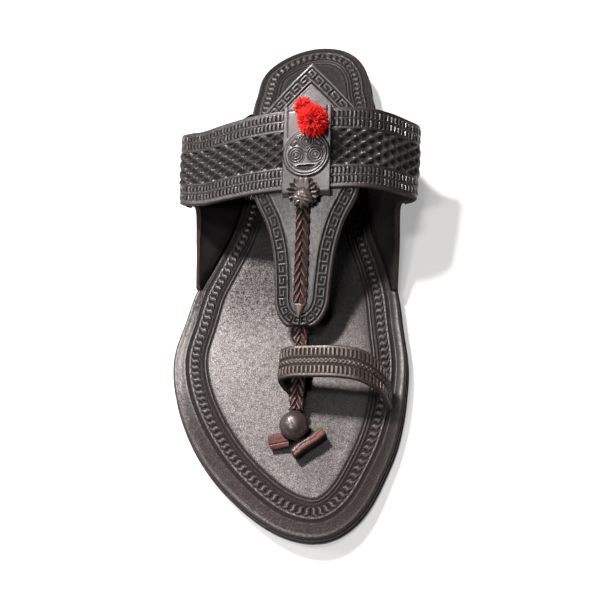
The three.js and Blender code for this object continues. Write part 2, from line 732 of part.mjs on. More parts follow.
const pieces = [
  { name: "heel", shape: heelBlock(), finish: leather(0x2a1c16, 0.7) },
  { name: "outsole", shape: soleLayer(0, 0, outsoleThick - seam), finish: leather(0x2c1d17, 0.65) },
  {
    name: "midsole",
    shape: soleLayer(layerStep, outsoleThick, outsoleThick + midsoleThick - seam),
    finish: leather(0x33221b, 0.6),
  },
  { name: "insole", shape: insoleGeometry(), finish: leather(0x241c1b, 0.42) },
  { name: "ear_lateral", shape: earGeometry(lateral), finish: leather(0x221a19, 0.45) },
  { name: "ear_medial", shape: earGeometry(medial), finish: leather(0x221a19, 0.45) },
  { name: "upper", shape: upperGeometry(), finish: leather(0x1f1817, 0.4) },
  { name: "centre_tab", shape: tabGeometry(), finish: leather(0x2a2322, 0.35) },
  { name: "rosette", shape: rosetteGeometry(), finish: leather(0x261b18, 0.55) },
  { name: "rosette_knot", shape: rosetteKnotGeometry(), finish: leather(0x2b1c17, 0.5) },
  { name: "braid_instep", shape: instepBraidGeometry(), finish: leather(0x3a221b, 0.5) },
  { name: "braid_toe", shape: toeBraidGeometry(), finish: leather(0x3a221b, 0.5) },
  { name: "toe_ring", shape: ringGeometry(), finish: leather(0x33231c, 0.48) },
  { name: "toe_bead", shape: beadGeometry(), finish: leather(0x2a1d1a, 0.4) },
  { name: "knot_end_medial", shape: foldGeometry(), finish: leather(0x40241d, 0.5) },
  { name: "knot_end_lateral", shape: flapGeometry(), finish: leather(0x4a2620, 0.55) },
  { name: "pompom", shape: pompomGeometry(), finish: wool },
];

// The origin is under the middle of the whole sandal, on the floor
const sandal = new THREE.Group();
for (const { name, shape, finish } of pieces) {
  const mesh = new THREE.Mesh(shape, finish);
  mesh.name = name;
  sandal.add(mesh);
}
const box = new THREE.Box3().setFromObject(sandal);
const centre = box.getCenter(point(0, 0, 0));
sandal.position.set(-centre.x, -centre.y, -box.min.z);

export default sandal;
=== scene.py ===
import math

import bpy
import numpy as np
from mathutils import Matrix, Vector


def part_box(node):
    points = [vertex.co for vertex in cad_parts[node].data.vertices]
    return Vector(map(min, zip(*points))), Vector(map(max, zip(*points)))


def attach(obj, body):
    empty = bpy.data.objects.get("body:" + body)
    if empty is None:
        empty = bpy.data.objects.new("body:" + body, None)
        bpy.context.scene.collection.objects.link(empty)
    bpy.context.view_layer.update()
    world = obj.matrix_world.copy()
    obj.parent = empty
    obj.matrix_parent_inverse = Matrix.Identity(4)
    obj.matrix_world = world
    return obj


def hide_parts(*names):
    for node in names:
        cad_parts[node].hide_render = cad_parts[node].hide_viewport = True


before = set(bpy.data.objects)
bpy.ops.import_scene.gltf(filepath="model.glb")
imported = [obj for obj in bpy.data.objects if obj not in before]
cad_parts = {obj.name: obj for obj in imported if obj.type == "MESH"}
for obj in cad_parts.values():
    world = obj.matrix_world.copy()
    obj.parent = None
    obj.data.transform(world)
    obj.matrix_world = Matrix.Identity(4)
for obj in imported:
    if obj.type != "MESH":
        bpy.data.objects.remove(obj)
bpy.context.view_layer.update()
print("sandal: frame loaded")

# Lengths are millimetres, +X the big toe side, +Y the heel, +Z up, until a mesh is written in metres.
seam = 0.3
lateral, medial = -1, 1

sole = dict(
    length=277.4, ballWidth=110.6, waistWidth=67.4, heelWidth=64.6, outsole=3.0, midsole=2.6, insole=3.2,
    step=0.5, heelLift=7.0, heelSeat=62.0, shank=88.0, toeSpring=4.0, springLength=45.0, heelRound=32.0,
    toeRound=84.0,
)
stack = sole["outsole"] + sole["midsole"] + sole["insole"]
ball, waist, heelHalf = sole["ballWidth"], sole["waistWidth"], 0.5 * sole["heelWidth"]

# Share of the length from the heel tip, half width, middle line
soleRows = np.array([
    (0.0, heelHalf, 0.034 * ball), (0.06, heelHalf, 0.006 * ball),
    (0.116, heelHalf, 0.004 * ball), (0.16, 1.06 * heelHalf, 0.008 * ball),
    (0.24, 0.507 * waist, 0.006 * ball), (0.32, 0.5 * waist, 0.004 * ball),
    (0.39, 0.53 * waist, 0.004 * ball), (0.445, 0.58 * waist, 0.003 * ball),
    (0.5, 0.405 * ball, 0.002 * ball), (0.563, 0.457 * ball, -0.006 * ball),
    (0.628, 0.484 * ball, -0.0095 * ball), (0.69, 0.508 * ball, -0.011 * ball),
    (0.76, 0.505 * ball, 0.0), (0.845, 0.49 * ball, 0.031 * ball),
    (0.9, 0.472 * ball, 0.058 * ball), (0.95, 0.455 * ball, 0.096 * ball),
    (0.984, 0.446 * ball, 0.123 * ball), (1.0, 0.45 * ball, 0.138 * ball),
])


def readTable(rows, column, at):
    # cubic between rows, with slopes (v[i+1] - v[i-1]) / (k[i+1] - k[i-1])
    keys, values = rows[:, 0], rows[:, column]
    at = np.clip(at, keys[0], keys[-1])
    i = np.clip(np.searchsorted(keys, at, side="left") - 1, 0, len(keys) - 2)
    slopes = np.empty(len(keys))
    slopes[1:-1] = (values[2:] - values[:-2]) / (keys[2:] - keys[:-2])
    slopes[0] = (values[1] - values[0]) / (keys[1] - keys[0])
    slopes[-1] = (values[-1] - values[-2]) / (keys[-1] - keys[-2])
    span = keys[i + 1] - keys[i]
    t = (at - keys[i]) / span
    start = values[i] * (1 + 2 * t) * (1 - t) ** 2 + span * slopes[i] * t * (1 - t) ** 2
    return start + values[i + 1] * t * t * (3 - 2 * t) - span * slopes[i + 1] * t * t * (1 - t)


def smooth(t):
    t = np.clip(t, 0, 1)
    return t * t * (3 - 2 * t)


def bell(x, width):
    return np.exp(-((x / width) ** 2))


def window(x, low, high, soft):
    # 1 between low and high, with soft ramps
    return smooth((x - low) / soft + 0.5) * smooth((high - x) / soft + 0.5)


def unit(v):
    return v / np.maximum(np.linalg.norm(v, axis=-1, keepdims=True), 1e-9)


def ripple(x, y, seed, size):
    # sum of four plane waves of wavelengths about size, between -1 and 1
    rng = np.random.default_rng(seed)
    angle, phase, stretch = rng.uniform(0, 2 * np.pi, (3, 4))
    wave = 2 * np.pi / (size * (0.7 + 0.15 * np.arange(4)))
    total = 0
    for k, heading, start in zip(wave, angle, phase + stretch):
        total = total + np.sin(k * (x * np.cos(heading) + y * np.sin(heading)) + start)
    return total / 4


def yAt(along):
    return sole["length"] / 2 - along


def alongAt(y):
    return sole["length"] / 2 - y


def underside(along):
    raised = 1 - smooth((along - sole["heelSeat"]) / sole["shank"])
    sprung = np.clip((along - sole["length"] + sole["springLength"]) / sole["springLength"], 0, 1)
    return sole["heelLift"] * raised + sole["toeSpring"] * sprung**2


def footbed(along):
    return underside(along) + stack


def soleSide(side, along, inset):
    # middle + side * half * sqrt((1 - heel^2) (1 - toe^2)) * (1 - inset / half ball width)
    heel = 1 - np.clip(along / sole["heelRound"], 0, 1)
    toe = 1 - np.clip((sole["length"] - along) / sole["toeRound"], 0, 1)
    half = readTable(soleRows, 1, along / sole["length"]) * np.sqrt((1 - heel**2) * (1 - toe**2))
    return readTable(soleRows, 2, along / sole["length"]) + side * half * (1 - inset / (0.5 * ball))


def catmull(points, t):
    # centripetal Catmull-Rom through points (n, ..., 3), t from 0 to 1 over all of them
    points = np.asarray(points, float)
    padded = np.concatenate([[2 * points[0] - points[1]], points, [2 * points[-1] - points[-2]]])
    gaps = np.sqrt(np.linalg.norm(np.diff(padded, axis=0), axis=-1, keepdims=True))
    place = np.clip(t, 0, 1) * (len(points) - 1)
    i = np.minimum(place.astype(int), len(points) - 2)
    f = (place - i).reshape(-1, *([1] * (points.ndim - 1)))
    x0, x1, x2, x3 = (padded[i + k] for k in range(4))
    d0, d1, d2 = (gaps[i + k] for k in range(3))
    m1 = ((x1 - x0) / d0 - (x2 - x0) / (d0 + d1) + (x2 - x1) / d1) * d1
    m2 = ((x2 - x1) / d1 - (x3 - x1) / (d1 + d2) + (x3 - x2) / d2) * d1
    return x1 + m1 * f + (3 * x2 - 3 * x1 - 2 * m1 - m2) * f**2 + (2 * x1 - 2 * x2 + m1 + m2) * f**3


def byLength(points, share):
    # the same curve with t spread evenly over its length; gives the points, t and the whole length
    fine = np.linspace(0, 1, 6001)
    line = catmull(points, fine)
    run = np.concatenate([[0], np.cumsum(np.linalg.norm(np.diff(line, axis=0), axis=1))])
    t = np.interp(np.asarray(share) * run[-1], run, fine)
    return catmull(points, t), t, run[-1]


def nearestOn(points, line):
    # distance from each point to the closest sample of a line, and that sample's length along the line
    run = np.concatenate([[0], np.cumsum(np.linalg.norm(np.diff(line, axis=0), axis=1))])
    flat = points.reshape(-1, points.shape[-1])
    gaps, places = [], []
    for part in np.array_split(flat, max(1, len(flat) // 3000)):
        square = ((part[:, None] - line[None]) ** 2).sum(-1)
        nearest = square.argmin(1)
        gaps.append(np.sqrt(square[np.arange(len(part)), nearest]))
        places.append(run[nearest])
    shape = points.shape[:-1]
    return np.concatenate(gaps).reshape(shape), np.concatenate(places).reshape(shape)


bead = dict(radius=6.8, x=0.054 * ball, along=0.8241 * sole["length"])
beadPlace = np.array([
    bead["x"], yAt(bead["along"]), footbed(bead["along"]) + seam + bead["radius"],
])
beadBox = [np.array(corner) * 1000 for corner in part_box("toe_bead")]
# From these millimetres to the frame's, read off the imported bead
offset = (beadBox[0] + beadBox[1]) / 2 - beadPlace


# Meshes

def gridFaces(rows, columns, closed=False, start=0):
    # quads between neighbours of a grid of rows x columns points; closed joins the last column to the first
    near = start + np.arange(rows - 1)[:, None] * columns
    j = np.arange(columns if closed else columns - 1)[None]
    k = (j + 1) % columns
    far = near + columns
    return np.stack([near + j, near + k, far + k, far + j], -1).reshape(-1, 4)


def addMesh(name, points, quads, caps=(), values=None, weld=False, sharp=45):
    # mesh in metres; a quad that collapses turns into a triangle; the sign of the volume turns the
    # faces outward
    points = np.asarray(points, float).reshape(-1, 3)
    values = {key: np.asarray(value, float).reshape(-1) for key, value in (values or {}).items()}
    quads = np.asarray(quads).reshape(-1, 4)
    if weld:
        keys = np.round(points * 500).astype(np.int64)
        _, first, back = np.unique(keys, axis=0, return_index=True, return_inverse=True)
        back = back.reshape(-1)
        points, quads = points[first], back[quads]
        values = {key: value[first] for key, value in values.items()}
        caps = [back[np.asarray(cap)] for cap in caps]
    a, b, c, d = quads.T
    same = np.stack([a == b, b == c, c == d, d == a, a == c, b == d], 1)
    whole = quads[~same.any(1)]
    single = (same[:, :4].sum(1) == 1) & ~same[:, 4] & ~same[:, 5]
    thin = quads[single]
    keep = np.ones((len(thin), 4), bool)
    keep[np.arange(len(thin)), same[single, :4].argmax(1)] = False
    triangles = thin[keep].reshape(-1, 3)
    caps = [list(cap) for cap in caps]
    tri = np.concatenate([whole[:, [0, 1, 2]], whole[:, [0, 2, 3]], triangles])
    for cap in caps:
        fan = np.array(cap)
        tri = np.concatenate([tri, np.stack([np.full(len(fan) - 2, fan[0]), fan[1:-1], fan[2:]], 1)])
    p, q, r = points[tri].transpose(1, 0, 2)
    if (p * np.cross(q, r)).sum() < 0:
        whole, triangles, caps = whole[:, ::-1], triangles[:, ::-1], [cap[::-1] for cap in caps]
    corners = np.concatenate([whole.ravel(), triangles.ravel(), *map(np.array, caps)]).astype(np.int32)
    sizes = np.concatenate([
        np.full(len(whole), 4), np.full(len(triangles), 3), [len(cap) for cap in caps],
    ]).astype(np.int32)
    used, corners = np.unique(corners, return_inverse=True)
    points = points[used]
    mesh = bpy.data.meshes.new(name)
    mesh.vertices.add(len(points))
    mesh.vertices.foreach_set("co", ((points + offset) / 1000).astype(np.float32).ravel())
    mesh.loops.add(len(corners))
    mesh.loops.foreach_set("vertex_index", corners.reshape(-1).astype(np.int32))
    mesh.polygons.add(len(sizes))
    mesh.polygons.foreach_set("loop_start", np.concatenate([[0], np.cumsum(sizes)[:-1]]).astype(np.int32))
    mesh.polygons.foreach_set("loop_total", sizes)
    mesh.update(calc_edges=True)
    mesh.validate()
    mesh.polygons.foreach_set("use_smooth", np.ones(len(mesh.polygons), bool))
    if sharp:
        mesh.set_sharp_from_angle(angle=math.radians(sharp))
    for key, value in values.items():
        layer = mesh.attributes.new(key, "FLOAT", "POINT")
        layer.data.foreach_set("value", value[used].astype(np.float32))
    piece = bpy.data.objects.new(name, mesh)
    bpy.context.scene.collection.objects.link(piece)
    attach(piece, "root")
    return piece


def strap(name, points, relief, rawEdge):
    # sweep of a strap's closed section, rows x section points, with both ends capped
    rows, count = points.shape[:2]
    caps = [np.arange(count), (rows - 1) * count + np.arange(count)[::-1]]
    plain = np.zeros((rows, count))
    return addMesh(name, points, gridFaces(rows, count, closed=True), caps=caps,
                   values={"relief": relief + plain, "rawEdge": rawEdge + plain})


def shell(name, rows, relief, rawEdge, sharp=45):
    # rings that start and end in a point, welded there
    rows = np.array(rows)
    return addMesh(name, rows, gridFaces(len(rows), rows.shape[1], closed=True), weld=True, sharp=sharp,
                   values={"relief": relief, "rawEdge": rawEdge})


def dress(piece, material, slotName, *nodes):
    piece.data.materials.append(material)
    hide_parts(*nodes)
    return piece


def stripLoop(thick, edge, topCount, underCount):
    # closed section of a strap: share s from -1 to 1 between the rounded edges, reach past them,
    # depth, and how much
    # relief a point takes: 1 on top, a quarter at the upper edge, 0 below
    top = np.linspace(-1, 1, topCount + 1)
    under = np.linspace(1, -1, underCount + 1)
    turn = np.linspace(0, np.pi / 2, 5)[1:-1]
    s = np.concatenate([top, np.ones(6), under, -np.ones(6)])
    bend = np.concatenate([turn, turn + np.pi / 2])
    reach = np.concatenate([0 * top, edge * np.sin(bend), 0 * under, -edge * np.sin(bend[::-1])])
    drop = np.where(bend <= np.pi / 2, -edge + edge * np.cos(bend), -thick + edge + edge * np.cos(bend))
    depth = np.concatenate([0 * top, drop, 0 * under - thick, drop[::-1]])
    lift = np.concatenate([0 * top + 1, 0.25 + 0 * bend, 0 * under, 0.25 + 0 * bend])
    lift[topCount + 4:topCount + 7] = 0
    lift[-6:-3] = 0
    return s, reach, depth, lift


def bevel(piece, width, angle=40, segments=2):
    made = piece.modifiers.new("soft edges", "BEVEL")
    made.width = width / 1000
    made.segments = segments
    made.limit_method = "ANGLE"
    made.angle_limit = math.radians(angle)
    made.harden_normals = False
    return piece


# Materials

def makeGroup(name, inputs, outputs):
    tree = bpy.data.node_groups.new(name, "ShaderNodeTree")
    for label, kind, value in inputs:
        socket = tree.interface.new_socket(label, in_out="INPUT", socket_type=kind)
        if value is not None:
            socket.default_value = value
    for label, kind in outputs:
        tree.interface.new_socket(label, in_out="OUTPUT", socket_type=kind)
    return tree, tree.nodes.new("NodeGroupInput"), tree.nodes.new("NodeGroupOutput")


def node(tree, kind, settings=None, **inputs):
    # adds a node; each input is a plain value or another node's output socket
    made = tree.nodes.new(kind)
    for key, value in (settings or {}).items():
        setattr(made, key, value)
    for key, value in inputs.items():
        numbered = key[0] == "i" and key[1:].isdigit()
        socket = made.inputs[int(key[1:]) if numbered else key.replace("_", " ")]
        if isinstance(value, bpy.types.NodeSocket):
            tree.links.new(value, socket)
        else:
            socket.default_value = value
    return made


def maths(tree, operation, a, b=0.0, clamp=False):
    return node(tree, "ShaderNodeMath", dict(operation=operation, use_clamp=clamp), i0=a, i1=b).outputs[0]


def blend(tree, share, a, b):
    # colour a where share is 0, b where it is 1
    made = node(tree, "ShaderNodeMix", dict(data_type="RGBA", clamp_factor=True), i0=share, i6=a, i7=b)
    return made.outputs[2]


def spread(tree, value, low, high, toLow=0.0, toHigh=1.0):
    # value taken from the range low to high over to the range toLow to toHigh, and held at its ends
    made = node(tree, "ShaderNodeMapRange", dict(clamp=True), i0=value, i1=low, i2=high, i3=toLow,
                i4=toHigh)
    return made.outputs[0]


def noise(tree, vector, scale, detail, roughness):
    made = node(tree, "ShaderNodeTexNoise", Vector=vector, Scale=scale, Detail=detail, Roughness=roughness)
    return made.outputs["Fac"]


def scaled(tree, value, factor):
    return maths(tree, "MULTIPLY", value, factor)


def leatherGrain():
    # height = pebble + 0.8 fine noise + 2.2 creases x crease noise, with the pebbles' edges bent by noise
    tree, source, target = makeGroup(
        "leather grain",
        [("Vector", "NodeSocketVector", None), ("Cells", "NodeSocketFloat", 1300.0),
         ("Creases", "NodeSocketFloat", 0.5)],
        [("Height", "NodeSocketFloat"), ("Pores", "NodeSocketFloat")],
    )
    warp = node(tree, "ShaderNodeTexNoise", Vector=source.outputs["Vector"], Scale=420.0, Detail=2.0)
    bent = node(tree, "ShaderNodeVectorMath", dict(operation="MULTIPLY_ADD"), i0=warp.outputs["Color"],
                i1=(0.0007, 0.0007, 0.0007), i2=source.outputs["Vector"])
    cells = node(tree, "ShaderNodeTexVoronoi", dict(feature="DISTANCE_TO_EDGE"), Vector=bent.outputs[0],
                 Scale=source.outputs["Cells"])
    fine = noise(tree, source.outputs["Vector"], 1700.0, 3.0, 0.6)
    crease = noise(tree, source.outputs["Vector"], 260.0, 4.0, 0.62)
    pebble = spread(tree, cells.outputs["Distance"], 0.0, 0.22)
    wrinkles = scaled(tree, scaled(tree, crease, 2.2), source.outputs["Creases"])
    height = maths(tree, "ADD", maths(tree, "ADD", pebble, scaled(tree, fine, 0.8)), wrinkles)
    tree.links.new(height, target.inputs["Height"])
    gaps = spread(tree, pebble, 0.9, 0.1, 0.0, 0.7)
    pores = maths(tree, "MAXIMUM", spread(tree, fine, 0.54, 0.7), gaps)
    tree.links.new(pores, target.inputs["Pores"])
    return tree


def leatherTone():
    # colour: painted shade in the grooves, main on the faces, worn on raised places, where it doubles as a
    # painted highlight, raw at cut edges, in soft patches; grooves, pores and cut edges are rougher and
    # take no polish
    tree, source, target = makeGroup(
        "leather tone",
        [("Vector", "NodeSocketVector", None), ("Groove", "NodeSocketColor", (0.01, 0.008, 0.008, 1)),
         ("Main", "NodeSocketColor", (0.03, 0.022, 0.02, 1)),
         ("Worn", "NodeSocketColor", (0.08, 0.05, 0.04, 1)),
         ("Raw", "NodeSocketColor", (0.12, 0.04, 0.03, 1)), ("Relief", "NodeSocketFloat", 0.5),
         ("Edge", "NodeSocketFloat", 0.0), ("Wear", "NodeSocketFloat", 0.5),
         ("Gloss", "NodeSocketFloat", 0.42), ("Pores", "NodeSocketFloat", 0.0)],
        [("Color", "NodeSocketColor"), ("Roughness", "NodeSocketFloat"), ("Polish", "NodeSocketFloat")],
    )
    given = source.outputs
    patchy = spread(tree, noise(tree, given["Vector"], 38.0, 4.0, 0.6), 0.35, 0.7)
    streaky = spread(tree, noise(tree, given["Vector"], 560.0, 5.0, 0.75), 0.42, 0.66)
    # raised relief takes the worn colour, partly rubbed wear and partly a painted highlight on ridges; low
    # relief takes the groove colour as painted shade
    high = spread(tree, given["Relief"], 0.62, 1.0)
    low = spread(tree, given["Relief"], 0.56, 0.28)
    worn = maths(tree, "ADD", scaled(tree, patchy, 0.35), scaled(tree, high, streaky))
    rubAndSheen = maths(tree, "MULTIPLY", worn, given["Wear"], clamp=True)
    color = blend(tree, rubAndSheen, given["Main"], given["Worn"])
    color = blend(tree, scaled(tree, low, 0.85), color, given["Groove"])
    raw = scaled(tree, given["Edge"], maths(tree, "ADD", scaled(tree, streaky, 0.75), 0.25))
    color = blend(tree, raw, color, given["Raw"])
    color = blend(tree, scaled(tree, given["Pores"], 0.35), color, given["Groove"])
    rough = maths(tree, "ADD", given["Gloss"], scaled(tree, maths(tree, "SUBTRACT", streaky, 0.4), 0.14))
    rough = maths(tree, "ADD", rough, scaled(tree, low, 0.3))
    rough = maths(tree, "ADD", rough, scaled(tree, given["Pores"], 0.2))
    rough = maths(tree, "ADD", rough, scaled(tree, given["Edge"], 0.2), clamp=True)
    dull = maths(tree, "ADD", maths(tree, "ADD", low, given["Edge"]), scaled(tree, given["Pores"], 0.55))
    dull = maths(tree, "ADD", dull, scaled(tree, streaky, 0.45))
    polish = maths(tree, "SUBTRACT", 1.0, dull, clamp=True)
    tree.links.new(color, target.inputs["Color"])
    tree.links.new(rough, target.inputs["Roughness"])
    tree.links.new(polish, target.inputs["Polish"])
    return tree


grainGroup = leatherGrain()
toneGroup = leatherTone()


def leather(name, look):
    # relief and rawEdge of the mesh choose between the look's colours, so relief paints shade into the
    # grooves and a highlight onto raised places; coat is the most that polish reaches
    material = bpy.data.materials.new(name)
    material.use_nodes = True
    tree = material.node_tree
    shader = tree.nodes["Principled BSDF"]
    where = node(tree, "ShaderNodeTexCoord").outputs["Object"]
    mapped = node(tree, "ShaderNodeMapping", Vector=where, Location=look.get("shift", (0, 0, 0))).outputs[0]
    grain = node(tree, "ShaderNodeGroup", dict(node_tree=grainGroup), Vector=mapped, Cells=look["cells"],
                 Creases=look["creases"])
    relief = node(tree, "ShaderNodeAttribute", dict(attribute_name="relief")).outputs["Fac"]
    edge = node(tree, "ShaderNodeAttribute", dict(attribute_name="rawEdge")).outputs["Fac"]
    tone = node(
        tree, "ShaderNodeGroup", dict(node_tree=toneGroup), Vector=mapped, Groove=(*look["groove"], 1),
        Main=(*look["main"], 1), Worn=(*look["worn"], 1), Raw=(*look["raw"], 1), Relief=relief, Edge=edge,
        Wear=look["wear"], Gloss=look["gloss"], Pores=grain.outputs["Pores"],
    )
    bump = node(tree, "ShaderNodeBump", Strength=look["bump"], Distance=look["depth"],
                Height=grain.outputs["Height"])
    tree.links.new(tone.outputs["Color"], shader.inputs["Base Color"])
    tree.links.new(tone.outputs["Roughness"], shader.inputs["Roughness"])
    coat = scaled(tree, tone.outputs["Polish"], look["coat"])
    tree.links.new(coat, shader.inputs["Coat Weight"])
    tree.links.new(bump.outputs[0], shader.inputs["Normal"])
    shader.inputs["Coat Roughness"].default_value = look["coatRoughness"]
    shader.inputs["IOR"].default_value = 1.5
    shader.inputs["Specular IOR Level"].default_value = look["specular"]
    return material


# in each look, groove is the colour of painted shade in grooves and of the pores, and worn the colour of
# rubbed places that also serves as a painted highlight on ridges
upperLook = dict(
    groove=(0.0015, 0.0013, 0.0013), main=(0.007, 0.0053, 0.005), worn=(0.036, 0.029, 0.027),
    raw=(0.05, 0.02, 0.016), wear=0.7, gloss=0.44, cells=1200.0, creases=0.4, bump=0.7, depth=0.00004,
    coat=1.0,
    coatRoughness=0.34, specular=0.4,
)
insoleLook = dict(
    groove=(0.002, 0.0016, 0.0015), main=(0.0085, 0.0063, 0.006), worn=(0.026, 0.0195, 0.018),
    raw=(0.034, 0.016, 0.012), wear=0.7, gloss=0.52, cells=950.0, creases=0.5, bump=1.0, depth=0.00006,
    coat=0.68,
    coatRoughness=0.4, specular=0.4,
)
tabLook = dict(upperLook, main=(0.02, 0.017, 0.016), worn=(0.07, 0.062, 0.06), gloss=0.36, bump=0.4,
               shift=(0.02, 0, 0))
earLook = dict(upperLook, main=(0.006, 0.005, 0.005), worn=(0.014, 0.011, 0.01), raw=(0.03, 0.012, 0.01),
               gloss=0.55, coat=0.1, specular=0.35)
ringLook = dict(
    groove=(0.002, 0.0013, 0.0012), main=(0.011, 0.0065, 0.0045), worn=(0.085, 0.05, 0.03),
    raw=(0.04, 0.021, 0.014), wear=0.9, gloss=0.45, cells=1700.0, creases=0.4, bump=0.45, depth=0.00004,
    coat=0.7,
    coatRoughness=0.36, specular=0.4,
)
braidLook = dict(
    groove=(0.003, 0.0015, 0.0014), main=(0.024, 0.011, 0.009), worn=(0.2, 0.1, 0.085),
    raw=(0.17, 0.06, 0.05),
    wear=0.9, gloss=0.36, cells=1700.0, creases=0.5, bump=0.45, depth=0.00004, coat=0.8, coatRoughness=0.28,
    specular=0.4,
)
beadLook = dict(braidLook, main=(0.016, 0.009, 0.009), worn=(0.05, 0.03, 0.028), gloss=0.34, coat=1.0,
                coatRoughness=0.3, bump=0.5, specular=0.8)
flapLook = dict(braidLook, main=(0.075, 0.024, 0.024), worn=(0.18, 0.075, 0.07), raw=(0.12, 0.035, 0.03),
                gloss=0.5, coat=0.1, bump=0.8)
rosetteLook = dict(upperLook, main=(0.03, 0.022, 0.019), worn=(0.16, 0.13, 0.115), wear=1.0, gloss=0.45)
edgeLook = dict(
    groove=(0.002, 0.0015, 0.0014), main=(0.009, 0.0065, 0.006), worn=(0.035, 0.022, 0.018),
    raw=(0.05, 0.03, 0.022), wear=0.6, gloss=0.42, cells=900.0, creases=0.8, bump=0.5, depth=0.00004,
    coat=0.5,
    coatRoughness=0.4, specular=0.4,
)

upperLeather = leather("dark embossed leather", upperLook)
insoleLeather = leather("dark insole leather", insoleLook)
tabLeather = leather("polished tab leather", tabLook)
earLeather = leather("dull ear leather", earLook)
ringLeather = leather("worn ring leather", ringLook)
braidLeather = leather("red-brown braid leather", braidLook)
beadLeather = leather("wrapped bead leather", beadLook)
flapLeather = leather("raw red leather", flapLook)
rosetteLeather = leather("pinked leather", rosetteLook)
edgeLeather = leather("burnished sole leather", edgeLook)
print("sandal: materials made")


# Sole

def soleOutline(inset, share):
    # closed outline of a layer, lateral side heel to toe and medial side back, read at shares of its
    # whole run
    t = 0.5 - 0.5 * np.cos(np.pi * np.linspace(0, 1, 2401))
    along = sole["length"] * t
    y = yAt(inset + (sole["length"] - 2 * inset) * t)
    left = np.stack([soleSide(lateral, along, inset), y], 1)
    right = np.stack([soleSide(medial, along, inset), y], 1)
    loop = np.concatenate([left, right[::-1][1:]])
    run = np.concatenate([[0], np.cumsum(np.linalg.norm(np.diff(loop, axis=0), axis=1))])
    at = np.asarray(share) * run[-1]
    return np.stack([np.interp(at, run, loop[:, 0]), np.interp(at, run, loop[:, 1])], 1)


def inward(loop):
    # unit normals of a closed plane loop, pointing in
    ahead = np.roll(loop, -1, 0) - np.roll(loop, 1, 0)
    return unit(np.stack([-ahead[:, 1], ahead[:, 0]], 1))


def middleAt(y):
    return readTable(soleRows, 2, (sole["length"] / 2 - y) / sole["length"])


def undersideAt(y):
    return underside(np.clip(alongAt(y), 0, sole["length"]))


def layer(name, outline, normals, rings, floorRings, values):
    # skin of a layer from the bottom's middle line round the edge to the top's: a floor ring has its
    # share of the
    # way out and a height, a ring its offset inward, height over the underside, relief and raw edge
    count = len(outline)
    deepest = max(ring[0].max() for ring in rings)
    inner = outline + normals * deepest
    low, high = inner[:, 1].min() + 0.5, inner[:, 1].max() - 0.5
    spineY = np.round(np.clip(inner[:, 1], low, high))
    spineY = np.clip(spineY, np.ceil(low), np.floor(high))
    spine = np.stack([middleAt(spineY), spineY], 1)
    rows, marks = [], []
    for share, height in floorRings:
        base = outline + normals * rings[0][0][:, None]
        spot = spine + (base - spine) * share
        rows.append(np.column_stack([spot, undersideAt(spot[:, 1]) + height]))
        marks.append(np.zeros((2, count)))
    for reach, height, relief, edge in rings:
        spot = outline + normals * reach[:, None]
        rows.append(np.column_stack([spot, undersideAt(spot[:, 1]) + height]))
        marks.append(np.stack([relief, edge]))
    last = rows[-1]
    for share in np.linspace(0, 1, values["inner"] + 1)[1:]:
        spot = last[:, :2] + (spine - last[:, :2]) * share
        lift = values["middle"](spot[:, 0], spot[:, 1]) * smooth(share * 6)
        top = undersideAt(spot[:, 1]) + values["top"] + lift
        rows.append(np.column_stack([spot, top]))
        marks.append(np.stack([values["tone"](spot[:, 1]), np.zeros(count)]))
    marks = np.array(marks)
    return shell(name, rows, marks[:, 0], marks[:, 1])


border = dict(
    count=1480, pitch=3.5, rope=(1.15, 5.35), height=0.8, ends=9.9, step=0.3, dish=0.25, edgeRadius=1.1,
    roll=1.1, rollStart=206.0,
)
# Distance from the heel tip, width of the plain margin on the little toe side and on the big toe side
marginRows = np.array([
    (0.0, 4.8, 4.8), (60.0, 5.2, 5.2), (130.0, 6.8, 6.8), (175.0, 8.2, 7.2), (200.0, 8.9, 7.4),
    (220.0, 9.7, 7.7),
    (240.0, 10.3, 8.2), (262.0, 9.8, 8.8), (277.4, 9.0, 9.0),
])


def ropeBorder(b, run):
    # at distance b from the margin: groove, ridge, row of ~ shaped lobes whose outer ends lean to the
    # toe, two lines
    low, high = border["rope"]
    v = np.clip((high + low - 2 * b) / (high - low), -1.2, 1.2)
    lean = border["pitch"] * (0.78 * v**3 - 0.2 * v)
    lobe = np.abs(np.sin(np.pi * (run - lean) / border["pitch"])) ** 0.75
    body = window(b, low, high, 0.5)
    height = border["height"] * body * (1.45 * lobe - 0.75) * (1 - 0.25 * v**2)
    height = height - 0.4 * window(b, -1.5, -0.15, 0.5) + 0.22 * bell(b - 0.5, 0.5) * (0.55 + 0.45 * lobe)
    for place, size in ((5.65, -0.36), (6.45, 0.26), (7.3, -0.34), (8.1, 0.26), (8.95, -0.4)):
        height = height + size * bell(b - place, 0.33)
    return height


def footPrint(x, y):
    # soft hollows of ball, heel and toes, and a low wave of worn leather
    along = alongAt(y)
    hollow = -0.55 * bell(along - 185, 34) * bell(x + 4, 26) - 0.5 * bell(along - 36, 26) * bell(x - 2, 18)
    hollow = hollow - 0.35 * bell(along - 232, 16) * bell(x - 24, 12)
    return hollow + 0.07 * ripple(x, y, 7, 30) + 0.03 * ripple(x, y, 11, 7)


def insolePaintedShade(along):
    # painted shade: lowers the relief value, and with it the colour and the shine: at the heel most, less
    # under the tongue
    return 0.12 * smooth((95 - along) / 45) + 0.18 * smooth((205 - along) / 55)


